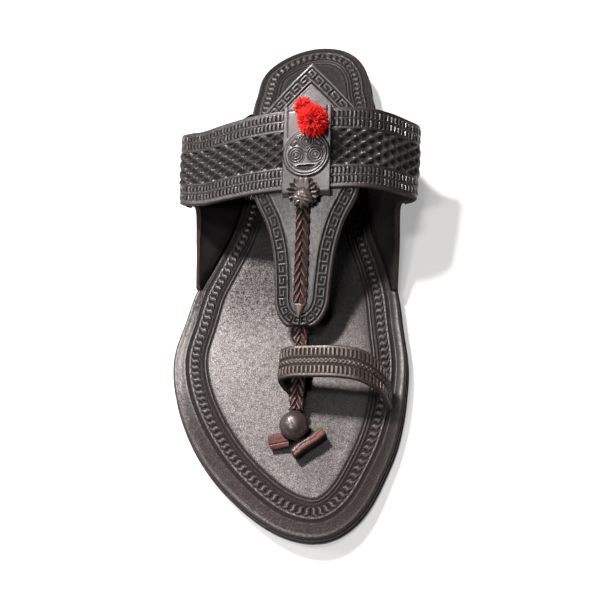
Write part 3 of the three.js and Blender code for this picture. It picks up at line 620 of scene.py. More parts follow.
def insolePiece():
    fine = np.linspace(0, 1, 6001)[:-1]
    loop = soleOutline(0, fine)
    normals = inward(loop)
    mid = loop + normals * 9.0
    run = np.concatenate([[0], np.cumsum(np.linalg.norm(np.diff(mid, axis=0, append=mid[:1]), axis=1))])
    share = np.interp(np.linspace(0, run[-1], border["count"] + 1)[:-1], run, np.append(fine, 1.0))
    outline = soleOutline(0, share)
    normals = inward(outline)
    length = run[-1]
    place = np.linspace(0, length, border["count"] + 1)[:-1]
    along = alongAt(outline[:, 1])
    onLateral = np.arange(border["count"]) < np.argmax(along)
    toToe = np.abs(place - place[np.argmax(along)])
    inNotch = smooth((along - 49.2) / 0.8) * smooth((156.4 - along) / 0.8)
    start = 1.0 + 2.35 * inNotch
    margin = np.where(onLateral, readTable(marginRows, 1, along), readTable(marginRows, 2, along))
    margin = sum(np.roll(margin, shift) for shift in (0, 9, -9, 18, -18)) / 5
    rolled = border["roll"] * smooth((along - border["rollStart"]) / 26)
    radius = border["edgeRadius"]
    rings = []
    flat = np.zeros(border["count"])
    thick = sole["insole"]
    # painted shade: the margin and rope border darker round the toe, at the heel and under the tongue; the
    # margin is also browner and duller round the toe
    dark = insolePaintedShade(along) + 0.1 * smooth((along - 205) / 40)
    brown = 0.45 * smooth((along - 200) / 45)
    # relief along the rounded edge: dark low down and a painted highlight along the top rounding; rawEdge
    # browns the cut edge
    for reach, height, relief, edge in (
        (0.0, -thick, 0.1, 0.6), (0.0, -thick * 0.55, 0.4, 0.75), (0.0, -radius, 0.5, 0.7),
        (0.1, -0.62 * radius, 0.6, 0.5), (0.34, -0.28 * radius, 0.9, 0.3),
        (0.68, -0.07 * radius, 1.0, 0.12),
        (1.1, 0.0, 0.95, 0.0),
    ):
        drop = rolled * (height > -2)
        rings.append((start + reach * radius, stack + height - drop, flat + relief, flat + edge))
    for t in np.linspace(0, 1, 7)[1:]:
        reach = start + 1.2 + (margin - 1.9 - start - 1.2) * t
        dish = -border["dish"] * np.sin(np.pi * t) - rolled * (1 - t) ** 1.3
        rings.append((reach, stack + dish + 0.07 * ripple(place, reach, 3, 18) * np.sin(np.pi * t),
                      0.6 - dark, brown))
    for step in np.arange(-1.65, border["ends"], border["step"]):
        height = ropeBorder(step + flat, toToe)
        gain = 0.95 if step < border["rope"][1] else 0.55
        rings.append((margin + step, stack + height, np.clip(0.6 - 0.6 * dark + gain * height, 0, 1),
                      0.5 * brown))
    floorRings = [(0.0, stack - thick), (0.7, stack - thick)]
    # the middle of the insole takes the same painted shade at the heel and under the tongue
    values = dict(inner=9, top=stack, middle=footPrint, tone=lambda y: 0.62 - insolePaintedShade(alongAt(y)))
    piece = layer("insole_leather", outline, normals, rings, floorRings, values)
    return dress(piece, insoleLeather, "insole_leather", "insole")


cutEdge = dict(points=520, levels=9, bevel=0.55, inset=0.1, run=640.0, raw=0.35, lip=1.6)


def plainLayer(name, inset, low, high, bulge):
    # cut edge of a layer: bevel (1 - sqrt(1 - (2t - 1)^8)), a low swell and the knife's fine waves
    share = np.linspace(0, 1, cutEdge["points"] + 1)[:-1]
    outline = soleOutline(inset, share)
    flat = np.zeros(cutEdge["points"])
    place = share * cutEdge["run"]
    rings = []
    for t in np.linspace(0, 1, cutEdge["levels"]):
        rounded = cutEdge["bevel"] * (1 - np.sqrt(np.clip(1 - (2 * t - 1) ** 8, 0, 1)))
        arch = np.sin(np.pi * t)
        rough = 0.06 * ripple(place, flat + 9 * t, 21, 5) + 0.05 * np.sin(2 * np.pi * t * 3)
        reach = flat + cutEdge["inset"] + rounded - bulge * arch + rough
        rings.append((reach, low + (high - low) * t + flat, flat + 0.3 + 0.5 * arch, flat + cutEdge["raw"]))
    rings.append((flat + cutEdge["lip"], high + flat, flat + 0.3, flat))
    values = dict(inner=4, top=high, middle=lambda x, y: 0 * x, tone=lambda y: 0 * y + 0.5)
    floorRings = [(0.0, low), (0.6, low), (0.96, low)]
    return layer(name, outline, inward(outline), rings, floorRings, values)


heelGrid = dict(rows=61, columns=41, levels=9, setBack=3.0, edge=0.35, lifts=3.5)


def heelPiece():
    # levels of a grid over the heel seat; the wall joins their rims, the lowest and the top grid close it
    rows, columns = heelGrid["rows"], heelGrid["columns"]
    t = np.linspace(0, 1, rows)
    share = np.linspace(0, 1, columns)
    layers = []
    levels = np.linspace(0, sole["heelLift"] - seam, heelGrid["levels"])
    for z in levels:
        lift = z / levels[-1]
        inset = sole["step"] * (2 - lift) + 0.08 * np.sin(2 * np.pi * lift * heelGrid["lifts"])
        along = (sole["heelSeat"] - heelGrid["setBack"]) * t**2
        left, right = soleSide(lateral, along, inset), soleSide(medial, along, inset)
        x = left[:, None] + (right - left)[:, None] * share
        y = yAt(along + inset * (1 - t))[:, None] + 0 * x
        layers.append(np.stack([x, y, z + 0 * x], -1))
    layers = np.array(layers)
    rim = [layers[:, i, 0] for i in range(rows)] + [layers[:, -1, j] for j in range(1, columns)]
    rim += [layers[:, i, -1] for i in range(rows - 2, 0, -1)]
    wall = np.array(rim).transpose(1, 0, 2)
    start = wall.size // 3
    points = np.concatenate([wall.reshape(-1, 3), layers[0].reshape(-1, 3), layers[-1].reshape(-1, 3)])
    quads = np.concatenate([
        gridFaces(len(levels), wall.shape[1], closed=True), gridFaces(rows, columns, start=start),
        gridFaces(rows, columns, start=start + rows * columns)[:, ::-1],
    ])
    piece = addMesh("heel_stack", points, quads, weld=True,
                    values={"relief": np.full(len(points), 0.45), "rawEdge": np.full(len(points), 0.3)})
    return dress(bevel(piece, heelGrid["edge"]), edgeLeather, "sole_leather", "heel")


dress(plainLayer("outsole_leather", 0.0, 0.0, sole["outsole"] - seam, 0.12), edgeLeather, "sole_leather",
      "outsole")
dress(plainLayer("midsole_leather", sole["step"], sole["outsole"], sole["outsole"] + sole["midsole"] - seam,
                 0.1),
      edgeLeather, "sole_leather", "midsole")
heelPiece()
insolePiece()
print("sandal: sole made")


# Instep band

band = dict(
    width=38.5, thick=2.5, span=116.6, height=53.2, front=127.6, tiltTop=22.0, tiltSide=10.5,
    flareLateral=0.045,
    flareMedial=0.025, edge=0.7, rows=560, columns=122, margin=2.0, bars=3.2, line=1.1, gap=1.5, pitch=1.95,
    cellLong=6.9, cellTall=5.2, relief=0.62,
)
bandRows = np.array([
    (-0.93, 0.479, 0.238), (-0.984, 0.536, 0.208), (-1.0, 0.611, 0.164), (-0.957, 0.669, 0.112),
    (-0.772, 0.733, 0.042), (-0.549, 0.823, 0.023), (-0.292, 0.91, 0.013), (-0.034, 0.97, 0.003),
    (0.223, 0.996, 0.0), (0.446, 1.0, 0.013), (0.635, 0.97, 0.034), (0.789, 0.898, 0.057),
    (0.918, 0.789, 0.094),
    (0.986, 0.71, 0.134), (1.0, 0.638, 0.167), (0.971, 0.568, 0.195), (0.905, 0.513, 0.22),
])
bandEdge = np.column_stack([
    bandRows[:, 0] * band["span"] / 2, yAt(band["front"]) + bandRows[:, 2] * band["width"],
    bandRows[:, 1] * band["height"],
])


def bandAcross(x):
    share = np.clip(1 - (2 * x / band["span"]) ** 2, 0, 1)
    tilt = np.radians(band["tiltSide"] + (band["tiltTop"] - band["tiltSide"]) * share)
    flare = np.where(x < 0, band["flareLateral"], band["flareMedial"]) * x
    return np.stack([flare / band["width"], np.cos(tilt), np.sin(tilt)], -1)


def bandFrame(t):
    # front edge, direction across and outward normal at shares t of the band's length
    edge, _, length = byLength(bandEdge, np.clip(t, 0, 1))
    ahead = byLength(bandEdge, np.clip(t + 0.002, 0, 1))[0] - byLength(bandEdge,
                                                                       np.clip(t - 0.002, 0, 1))[0]
    across = bandAcross(edge[:, 0])
    return edge, across, unit(np.cross(ahead, across)), length


# The band's front edge as a dense line over the instep, read by x
surfaceT = np.linspace(0.12, 0.88, 1501)
surfaceEdge = byLength(bandEdge, surfaceT)[0]


tongueFall = np.array([
    (0.0, 0.0), (0.206, 0.15), (0.4, 0.28), (0.645, 0.425), (0.796, 0.5), (1.0, 0.59),
])
tongue = dict(
    thick=2.2, width=25.6, reach=55.8, round=14.0, kiteWidth=50.4, kiteReach=22.0, set=0.5, edge=0.6,
    strip=2.2,
    key=4.4, pitch=5.4, relief=0.5,
)


def instepSurface(x, y):
    # height of the band's outer face, carried on level behind the front edge and down the tongue before it
    edgeY = np.interp(x, surfaceEdge[:, 0], surfaceEdge[:, 1])
    edgeZ = np.interp(x, surfaceEdge[:, 0], surfaceEdge[:, 2])
    across = bandAcross(x)
    behind = y - edgeY
    level = edgeZ + (band["height"] - edgeZ) * np.clip(-behind / tongue["reach"], 0, 1)
    fall = readTable(tongueFall, 1, -behind / tongue["reach"]) * band["height"]
    return np.where(behind >= 0, edgeZ + behind * across[..., 2] / across[..., 1], level - fall)


def barRow(w, run, low, high):
    # upright bars with rounded tops between two edges of the row
    bar = smooth((np.abs(((run / band["pitch"]) % 1) - 0.5) - 0.14) / 0.14)
    return window(w, low + 0.25, high - 0.25, 0.4) * (bar * 1.3 - 0.75)


def bandRelief(w, run):
    # bars, line, bars, lattice of diamonds with a round dimple each, and the same rows mirrored
    side = np.minimum(w, band["width"] - w)
    one = band["margin"]
    two = one + band["bars"] + band["line"]
    lattice = two + band["bars"] + band["gap"]
    height = barRow(side, run, one, one + band["bars"]) + barRow(side, run, two, two + band["bars"])
    height = height + 0.5 * bell(side - one - band["bars"] - band["line"] / 2, 0.3)
    height = height + 0.5 * bell(side - lattice + band["gap"] / 2, 0.4)
    p = (run / band["cellLong"] + (w - band["width"] / 2) / band["cellTall"]) % 1
    q = (run / band["cellLong"] - (w - band["width"] / 2) / band["cellTall"]) % 1
    ridge = np.maximum(bell(np.minimum(p, 1 - p), 0.085), bell(np.minimum(q, 1 - q), 0.085))
    du, dw = (p + q - 1) / 2 * band["cellLong"], (p - q) / 2 * band["cellTall"]
    reach = np.sqrt((0.85 * du) ** 2 + (1.1 * dw) ** 2)
    cell = 1.15 * ridge - 0.05 - 1.9 * bell(reach, 1.05) + 0.5 * bell(reach, 0.4)
    height = height + window(side, lattice + 0.1, 99, 0.5) * cell
    return height


def bandPiece():
    t = np.linspace(0, 1, band["rows"] + 1)
    edge, across, normal, length = bandFrame(t)
    s, reach, depth, lift = stripLoop(band["thick"], band["edge"], band["columns"], 14)
    w = band["width"] / 2 + s * (band["width"] / 2 - band["edge"]) + reach
    run = (t * length)[:, None]
    taper = smooth(t / 0.008) * smooth((1 - t) / 0.008)
    height = bandRelief(w[None], run + 0.2 * ripple(run, w[None], 4, 22)) * lift
    wave = 0.12 * ripple(run, w[None], 8, 24) * (lift > 0)
    d = depth[None] * (0.35 + 0.65 * taper[:, None]) + band["relief"] * height * taper[:, None] + wave
    points = edge[:, None] + across[:, None] * w[None, :, None] + normal[:, None] * d[..., None]
    rim = np.clip((np.abs(reach) > 0) * 0.6 + (w < 1.2) * 0.15, 0, 1)[None] + 0 * run
    rim = np.maximum(rim, 1 - smooth(run / 1.2) * smooth((length - run) / 1.2))
    piece = strap("instep_band", points, np.clip(0.6 + 0.55 * height, 0, 1), rim)
    return dress(piece, upperLeather, "upper_leather", "upper")


# Kite tongue

tipAlong = band["front"] + tongue["reach"]
kiteAlong = band["front"] - band["width"] * math.cos(math.radians(band["tiltTop"])) - tongue["kiteReach"]
tongueWhole = tipAlong - kiteAlong
tongueRows = np.array([
    (0.0, 0.5 * tongue["width"]), (0.2 * tongue["reach"], 0.5 * tongue["width"]),
    (0.37 * tongue["reach"], 0.52 * tongue["width"]), (0.6 * tongue["reach"], 0.58 * tongue["width"]),
    (0.8 * tongue["reach"], 0.365 * tongue["kiteWidth"]),
    (0.92 * tongue["reach"], 0.44 * tongue["kiteWidth"]),
    (tongue["reach"], 0.485 * tongue["kiteWidth"]),
    (tongue["reach"] + 0.25 * band["width"], 0.5 * tongue["kiteWidth"]),
])
# One repeat of the meander, outer row first
meander = np.array([
    [1, 1, 1, 1, 1, 0],
    [1, 0, 0, 0, 1, 0],
    [1, 0, 1, 1, 1, 0],
    [1, 0, 0, 0, 0, 0],
    [1, 1, 1, 1, 1, 1],
], float)


def centreLine(along):
    return (0.047 + 0.037 * (tipAlong - along) / tongueWhole) * ball


def tongueHalf(fromTip):
    kite = np.clip((tongueWhole - fromTip) / tongue["kiteReach"], 0, 1)
    tip = 1 - np.clip(fromTip / tongue["round"], 0, 1)
    return readTable(tongueRows, 1, fromTip) * kite * np.sqrt(1 - tip**2)


def tongueTop(x, y):
    return instepSurface(x, y) - band["thick"] + tongue["set"] * band["thick"] / 5


def keyPattern(across, run):
    # meander chart read with soft cell edges: across 0 to 1, run in repeats
    rows, columns = meander.shape
    v = np.clip(across, 0, 0.9999) * rows - 0.5
    u = (run % 1) * columns - 0.5
    i, j = np.floor(v).astype(int), np.floor(u).astype(int)
    fv, fu = smooth((v - i - 0.5) * 1.9 + 0.5), smooth((u - j - 0.5) * 1.9 + 0.5)

    def cell(a, b):
        return meander[np.clip(a, 0, rows - 1), b % columns]

    near = cell(i, j) * (1 - fu) + cell(i, j + 1) * fu
    far = cell(i + 1, j) * (1 - fu) + cell(i + 1, j + 1) * fu
    return near * (1 - fv) + far * fv


def tonguePiece():
    front = np.linspace(0.05, 1, 184) ** 1.1 * (tongue["reach"] + 2)
    hidden = np.linspace(tongue["reach"] + 2, tongueWhole - tongue["kiteReach"] - 1.5, 12)[1:]
    rear = np.linspace(tongueWhole - tongue["kiteReach"] - 1.5, tongueWhole - 0.25, 78)[1:]
    fromTip = np.concatenate([front, hidden, rear])
    s, reach, depth, lift = stripLoop(tongue["thick"] * 1.12, tongue["edge"], 136, 16)
    half = tongueHalf(fromTip)[:, None]
    edge = np.minimum(tongue["edge"], 0.5 * half)
    x = centreLine(tipAlong - fromTip)[:, None] + s * (half - edge) + reach * edge / tongue["edge"]
    y = yAt(tipAlong - fromTip)[:, None] + 0 * x
    top = tongueTop(x, y)
    dense = np.linspace(0, 1, 1500) ** 1.3 * (tongueWhole - 0.25)
    sides = []
    for side in (lateral, medial):
        lineX = centreLine(tipAlong - dense) + side * tongueHalf(dense)
        lineY = yAt(tipAlong - dense)
        sides.append(np.column_stack([lineX, lineY, tongueTop(lineX, lineY)]))
    outline = np.concatenate([sides[0][::-1], sides[1]])
    keep = np.linspace(0, 1, 2600)
    run = np.concatenate([[0], np.cumsum(np.linalg.norm(np.diff(outline, axis=0), axis=1))])
    outline = np.column_stack([np.interp(keep * run[-1], run, outline[:, k]) for k in range(3)])
    surface = np.stack([x, y, top], -1)
    shows = lift > 0
    gap, place = nearestOn(surface[:, shows], outline)
    repeats = round(run[-1] / tongue["pitch"])
    key = keyPattern((gap - tongue["strip"]) / tongue["key"], place / run[-1] * repeats)
    inside = window(gap, tongue["strip"], tongue["strip"] + tongue["key"], 0.25)
    height = inside * (key * 1.15 - 0.75)
    height = height - 0.8 * bell(gap - tongue["strip"] + 0.35, 0.28)
    height = height - 0.8 * bell(gap - tongue["strip"] - tongue["key"] - 0.4, 0.3)
    height = height + 0.3 * bell(gap - tongue["strip"] - tongue["key"] - 1.1, 0.4)
    height = height + 0.35 * window(gap, 0.6, tongue["strip"] - 0.9, 0.9)
    relief = np.zeros_like(x)
    relief[:, shows] = height * lift[shows]
    soft = 0.18 * ripple(x, y, 14, 19) * (lift > 0)
    z = top + depth + tongue["relief"] * relief + soft
    rim = np.clip((np.abs(reach) > 0) * 0.7, 0, 1)[None] + 0 * x
    piece = strap("kite_tongue", np.stack([x, y, z], -1), np.clip(0.6 + 0.5 * relief, 0, 1), rim)
    return dress(piece, upperLeather, "upper_leather", "upper")


bandPiece()
tonguePiece()
print("sandal: band and tongue made")


# Ears

ear = dict(thick=2.6, baseFront=155.5, baseRear=50.0, edge=0.8, underBand=13.0, hollow=4.0, seam=0.45)


def earPiece(name, side, nodeName):
    u = np.linspace(0, 1, 141)
    bandLength = byLength(bandEdge, np.array([0.0, 1.0]))[2]
    along = ear["baseFront"] + (ear["baseRear"] - ear["baseFront"]) * u
    x = soleSide(side, along, 0) - side * sole["step"] / 2
    foot = np.column_stack([x, yAt(along), footbed(along) - sole["insole"]])
    rise = np.column_stack([x, yAt(along), footbed(along) + seam])
    w = -ear["edge"] + (band["width"] + 2 * ear["edge"]) * u
    anchors = []
    for length in (0.25, 4, 8.5, ear["underBand"]):
        share = length / bandLength if side < 0 else 1 - length / bandLength
        edge, across, normal, _ = bandFrame(np.array([share]))
        anchors.append(edge + across * w[:, None] - normal * (band["thick"] + ear["seam"]))
    waistLine = (rise + anchors[0]) / 2
    waistLine[:, 1] += ear["hollow"] * (1 - 2 * u)
    bend = catmull(np.array([rise, waistLine, *anchors]), np.linspace(0, 1, 56))
    outer = np.concatenate([foot[None], bend])
    normal = unit(np.cross(np.gradient(outer, axis=1), np.gradient(outer, axis=0)))
    normal[0, :, 2] = 0
    normal = unit(normal)
    wrinkle = 0.14 * ripple(outer[..., 1], outer[..., 2], 17 + side, 17) * smooth(np.arange(57) / 10)[:,
                                                                                                      None]
    wrinkle = wrinkle * smooth((56 - np.arange(57)) / 26)[:, None]
    outer = outer - side * normal * wrinkle[..., None]
    inner = outer - side * normal * ear["thick"]
    rows, columns = outer.shape[:2]
    loop = np.concatenate([outer, inner[:, ::-1]], 1)
    count = 2 * columns
    raw = np.zeros((rows, columns))
    raw[:, :2] = raw[:, -2:] = 0.9
    raw[-2:] = 0.9
    raw = np.concatenate([raw, raw[:, ::-1]], 1)
    quads = gridFaces(rows, count, closed=True)
    ends = []
    for row in (0, rows - 1):
        j = np.arange(columns - 1)
        base = row * count
        ends.append(np.stack([base + j, base + j + 1, base + count - 2 - j, base + count - 1 - j], 1))
    ends[1] = ends[1][:, ::-1]
    piece = addMesh(name, loop, np.concatenate([quads, ends[0][:, ::-1], ends[1][:, ::-1]]),
                    values={"relief": np.full(loop.shape[:2], 0.6), "rawEdge": raw}, sharp=35)
    return dress(bevel(piece, 0.45, 50), earLeather, "upper_leather", nodeName)


earPiece("lateral_ear", lateral, "ear_lateral")
earPiece("medial_ear", medial, "ear_medial")
print("sandal: ears made")


# Centre tab and medallion

tab = dict(
    width=22.6, thick=1.8, tail=0.5, fold=60.0, radius=4.0, medallion=11.2, rise=1.3, back=15.2, edge=0.5,
)
tabMiddle = centreLine(band["front"]) + 0.008 * ball
tilt = math.radians(band["tiltTop"])
tabUp = np.array([0, -math.sin(tilt), math.cos(tilt)])
tabForward = np.array([0, math.cos(tilt), math.sin(tilt)])
# Bullseyes of the medallion: sideways and forward from its middle
eyes = np.array([(-4.6, -0.9), (4.6, -0.9), (0.2, 5.6)])
# Leaves between them: sideways, forward, turn in radians
leaves = ((-5.6, 5.2, 0.8), (5.8, 5.0, -0.8), (0.0, 1.5, 0.0), (-8.0, -5.0, -0.7), (8.0, -5.0, 0.7))


def tabFace(x, run, clear):
    # point at a run from the fold's lower end: arc of the fold, then level on the band
    fold = math.radians(tab["fold"])
    core = tab["radius"] - tab["thick"] - seam
    arc = fold * tab["radius"]
    edgeY = yAt(band["front"])
    front = instepSurface(x, edgeY + 0.02 + 0 * x)
    angle = tilt + fold * np.clip(1 - run / arc, 0, 1)
    radius = core + seam + clear
    bendY = edgeY + core * math.sin(tilt) - radius * np.sin(angle)
    bendZ = front - core * math.cos(tilt) + radius * np.cos(angle)
    ahead = np.clip(run - arc, 0, None)
    flatY = edgeY + ahead * math.cos(tilt)
    flatZ = instepSurface(x, flatY) + (seam + clear) / math.cos(tilt)
    isFold = run < arc
    y = np.where(isFold, bendY, flatY)
    z = np.where(isFold, bendZ, flatZ)
    return np.stack([x + 0 * y, y, z], -1)


def tabPiece():
    arc = math.radians(tab["fold"]) * tab["radius"]
    whole = arc + band["width"] + tab["tail"]
    run = np.linspace(0, whole, 116)[:, None]
    s, reach, depth, lift = stripLoop(tab["thick"], tab["edge"], 62, 10)
    x = tabMiddle + s * (tab["width"] / 2 - tab["edge"]) + reach + 0 * run
    base = tabFace(x, run + 0 * x, 0.0)
    angle = tilt + math.radians(tab["fold"]) * np.clip(1 - run / arc, 0, 1)
    normal = np.stack([0 * angle, -np.sin(angle), np.cos(angle)], -1)
    side = np.abs(x - tabMiddle)
    relief = -0.7 * bell(side - tab["width"] / 2 + 2.0, 0.35) * smooth((run - 27) / 2)
    relief = relief - 0.6 * bell(run - whole + 2.2, 0.35) * (side < tab["width"] / 2 - 1.7)
    relief = relief * lift
    soft = 0.1 * ripple(x, base[..., 1], 31, 14) * (lift > 0)
    points = base + normal * (tab["thick"] + depth + 0.3 * relief + soft)[..., None]
    rim = np.clip((np.abs(reach) > 0) * 0.5, 0, 1)[None] + 0 * x
    piece = strap("centre_tab_leather", points, np.clip(0.6 + 0.5 * relief, 0, 1), rim)
    return dress(piece, tabLeather, "upper_leather", "centre_tab")


def medallionPiece():
    # polar grid; rings at the rim, three bullseyes, fillers between them and a lens at the foot
    radii = np.concatenate([[0], np.linspace(0.2, tab["medallion"] - 0.35, 62)])
    turn = np.linspace(0, 2 * np.pi, 217)[:-1]
    x = radii[:, None] * np.cos(turn)
    y = radii[:, None] * np.sin(turn)
    r = radii[:, None] + 0 * x
    height = 0.55 * bell(r - 10.35, 0.4) + 0.5 * bell(r - 9.2, 0.35) - 0.3 * bell(r - 9.75, 0.25)
    field = window(r, -9, 8.7, 0.4)
    for ex, ey in eyes:
        d = np.hypot(x - ex, y - ey)
        eye = 0.9 * bell(d, 0.7) + 0.85 * sum(bell(d - circle, 0.33) for circle in (1.75, 2.95, 4.1))
        height = height + field * np.where(d < 4.35, eye - 0.35, 0)
        field = field * smooth((d - 4.2) / 0.35)
    lens = np.hypot((x - 0.1) / 4.6, (y + 6.6 - 0.03 * x**2) / 1.0)
    height = height + field * (0.1 + 0.5 * bell(lens - 1.1, 0.2) - 1.4 * smooth((1.0 - lens) / 0.4))
    for fx, fy, slant in leaves:
        u = (x - fx) * math.cos(slant) + (y - fy) * math.sin(slant)
        v = (y - fy) * math.cos(slant) - (x - fx) * math.sin(slant)
        leaf = 0.7 * bell(u, 0.9) * bell(v, 0.45) - 0.5 * bell(np.hypot(u / 1.9, v / 1.2) - 1, 0.25)
        height = height + field * leaf
    dome = tab["rise"] * 0.72 * (1 - (r / tab["medallion"]) ** 8)
    middleRun = math.radians(tab["fold"]) * tab["radius"] + tab["back"]
    base = tabFace(tabMiddle + x, middleRun + y, tab["thick"])
    top = base + tabUp * (0.38 + dome + 0.42 * height)[..., None]
    turnRows = []
    for reach, drop in ((tab["medallion"] - 0.1, 0.32), (tab["medallion"], 0.05), (tab["medallion"], -0.3),
                        (0.0, -0.3)):
        spot = tabFace(tabMiddle + reach * np.cos(turn), middleRun + reach * np.sin(turn), tab["thick"])
        turnRows.append(spot + tabUp * drop)
    points = np.concatenate([top, np.array(turnRows)])
    # tone follows the pattern's height; the turned-down sides and underside take painted shade
    tone = np.concatenate([np.clip(0.5 + 0.6 * height, 0, 1), np.full((4, len(turn)), 0.3)])
    piece = shell("medallion", points, tone, 0 * tone)
    return dress(piece, tabLeather, "upper_leather", "centre_tab")


tabPiece()
medallionPiece()
print("sandal: tab and medallion made")


# Rosette and its knot

rosette = dict(radius=7.6, tooth=1.3, teeth=16, thick=1.5, lean=40.0)
lean = math.radians(rosette["lean"])
rosetteUp = np.array([0, -math.sin(lean), math.cos(lean)])
rosetteBack = np.array([0, math.cos(lean), math.sin(lean)])
foldCore = tab["radius"] - tab["thick"] - seam
rosetteX = centreLine(band["front"])
rosetteTop = instepSurface(rosetteX + rosette["radius"] * np.array([-1.0, 0, 1]),
                           yAt(band["front"]) + 0.02).max()
rosetteCentre = np.array([rosetteX, yAt(band["front"]) + foldCore * math.sin(tilt),
                          rosetteTop - foldCore * math.cos(tilt)])
rosetteCentre = rosetteCentre + rosetteUp * (tab["radius"] + seam) - rosetteBack * 0.12 * rosette["radius"]


def onRosette(centre, x, y, rise):
    # points sideways, back along the disc and up from a centre
    return centre + np.outer(x, [1, 0, 0]) + np.outer(y, rosetteBack) + np.outer(rise, rosetteUp)


def rosettePiece():
    # polar grid whose rim zigzags between radius and radius - tooth, curled up in places, with a pad
    # on its rear half
    turn = np.linspace(0, 2 * np.pi, 257)[:-1]
    zig = np.abs(((turn * rosette["teeth"] / (2 * np.pi)) % 1) * 2 - 1)
    rim = rosette["radius"] - rosette["tooth"] * zig * (1 + 0.35 * np.sin(3 * turn + 1))
    share = np.array([0, 0.12, 0.24, 0.34, 0.42, 0.49, 0.56, 0.63, 0.7, 0.76, 0.82, 0.88, 0.94, 0.985])
    flute = np.cos(turn * rosette["teeth"])
    curl = 0.7 * bell(turn - 0.25, 0.4) + 0.9 * bell(turn - 2.75, 0.35) + 0.6 * bell(turn - 5.9,
                                                                                     0.3) + 0.12 * flute
    rows, tone, raw = [], [], []
    thick = rosette["thick"]
    levels = [(thick, f, 1) for f in share] + [(0.7 * thick, 1.0, 1), (0.25 * thick, 1.0, 0)]
    for level, f, top in levels + [(0.0, f, 0) for f in (0.96, 0.6, 0.0)]:
        x, y = f * rim * np.cos(turn), f * rim * np.sin(turn)
        pad = window(x, -3.2, 3.2, 0.9) * window(y, 0.9, 6.7, 0.9)
        lift = level + top * (0.3 * flute * f**2 * (1 - pad) + curl * f**4 + 0.85 * pad)
        rows.append(onRosette(rosetteCentre, x, y, lift))
        # flutes painted light on their ridges and shade in their valleys, curled places a painted
        # highlight, the pad lighter
        tone.append(np.clip(0.3 + 0.35 * flute * f * (1 - pad) + 0.55 * pad + 0.5 * curl * f**3, 0, 1))
        raw.append(np.full(256, 0.6 if f > 0.95 else 0.05))
    piece = addMesh("pinked_rosette", np.array(rows), gridFaces(len(rows), 256, closed=True), weld=True,
                    values={"relief": np.array(tone), "rawEdge": np.array(raw)}, sharp=55)
    return dress(piece, rosetteLeather, "upper_leather", "rosette")


def knotPiece():
    # shell: height 0.75 + 2.45 (1 - r^2.6)^0.6 over an oval whose front edge is cut in a zigzag
    turn = np.linspace(0, 2 * np.pi, 193)[:-1]
    front = window(turn, 1.08 * np.pi, 1.92 * np.pi, 0.3)
    zig = np.abs(((turn * 9 / (2 * np.pi)) % 1) * 2 - 1)
    rim = 1 / np.sqrt((np.cos(turn) / 4.5) ** 2 + (np.sin(turn) / 4.1) ** 2) + front * (0.9 - 1.5 * zig)
    share = np.linspace(0, 1, 25)
    rows, tone = [], []
    place = rosetteCentre + rosetteUp * (rosette["thick"] + 0.05) - rosetteBack * 0.32 * rosette["radius"]
    for f in share:
        x, y = f * rim * np.cos(turn), f * rim * np.sin(turn)
        crease = 0.3 * front * (zig - 0.5) * f**2
        crease = crease + 0.14 * np.sin(2.3 * x + 1.1 * y) + 0.1 * np.sin(4.1 * y + x)
        rise = 0.75 + 2.45 * (1 - f**2.6) ** 0.6 - crease
        rows.append(onRosette(place, x, y, rise))
        # creases and the rim are painted darker as shade
        tone.append(np.clip(0.75 - 0.9 * crease - 0.25 * f**6 + 0 * x, 0, 1))
    for f, rise in ((1.0, 0.0), (0.0, 0.0)):
        x, y = f * rim * np.cos(turn), f * rim * np.sin(turn)
        rows.append(onRosette(place, x, y, rise + 0 * x))
        # the underside takes painted shade
        tone.append(0 * x + 0.2)
    piece = addMesh("rosette_knot_leather", np.array(rows), gridFaces(len(rows), 192, closed=True),
                    weld=True,
                    values={"relief": np.array(tone), "rawEdge": np.array(tone) * 0.15})
    return dress(piece, rosetteLeather, "braid_leather", "rosette_knot")


rosettePiece()
knotPiece()


# Braids

braid = dict(width=6.6, thick=2.8, arm=1.0, length=47.0, toeWidth=6.2, slope=1.55)


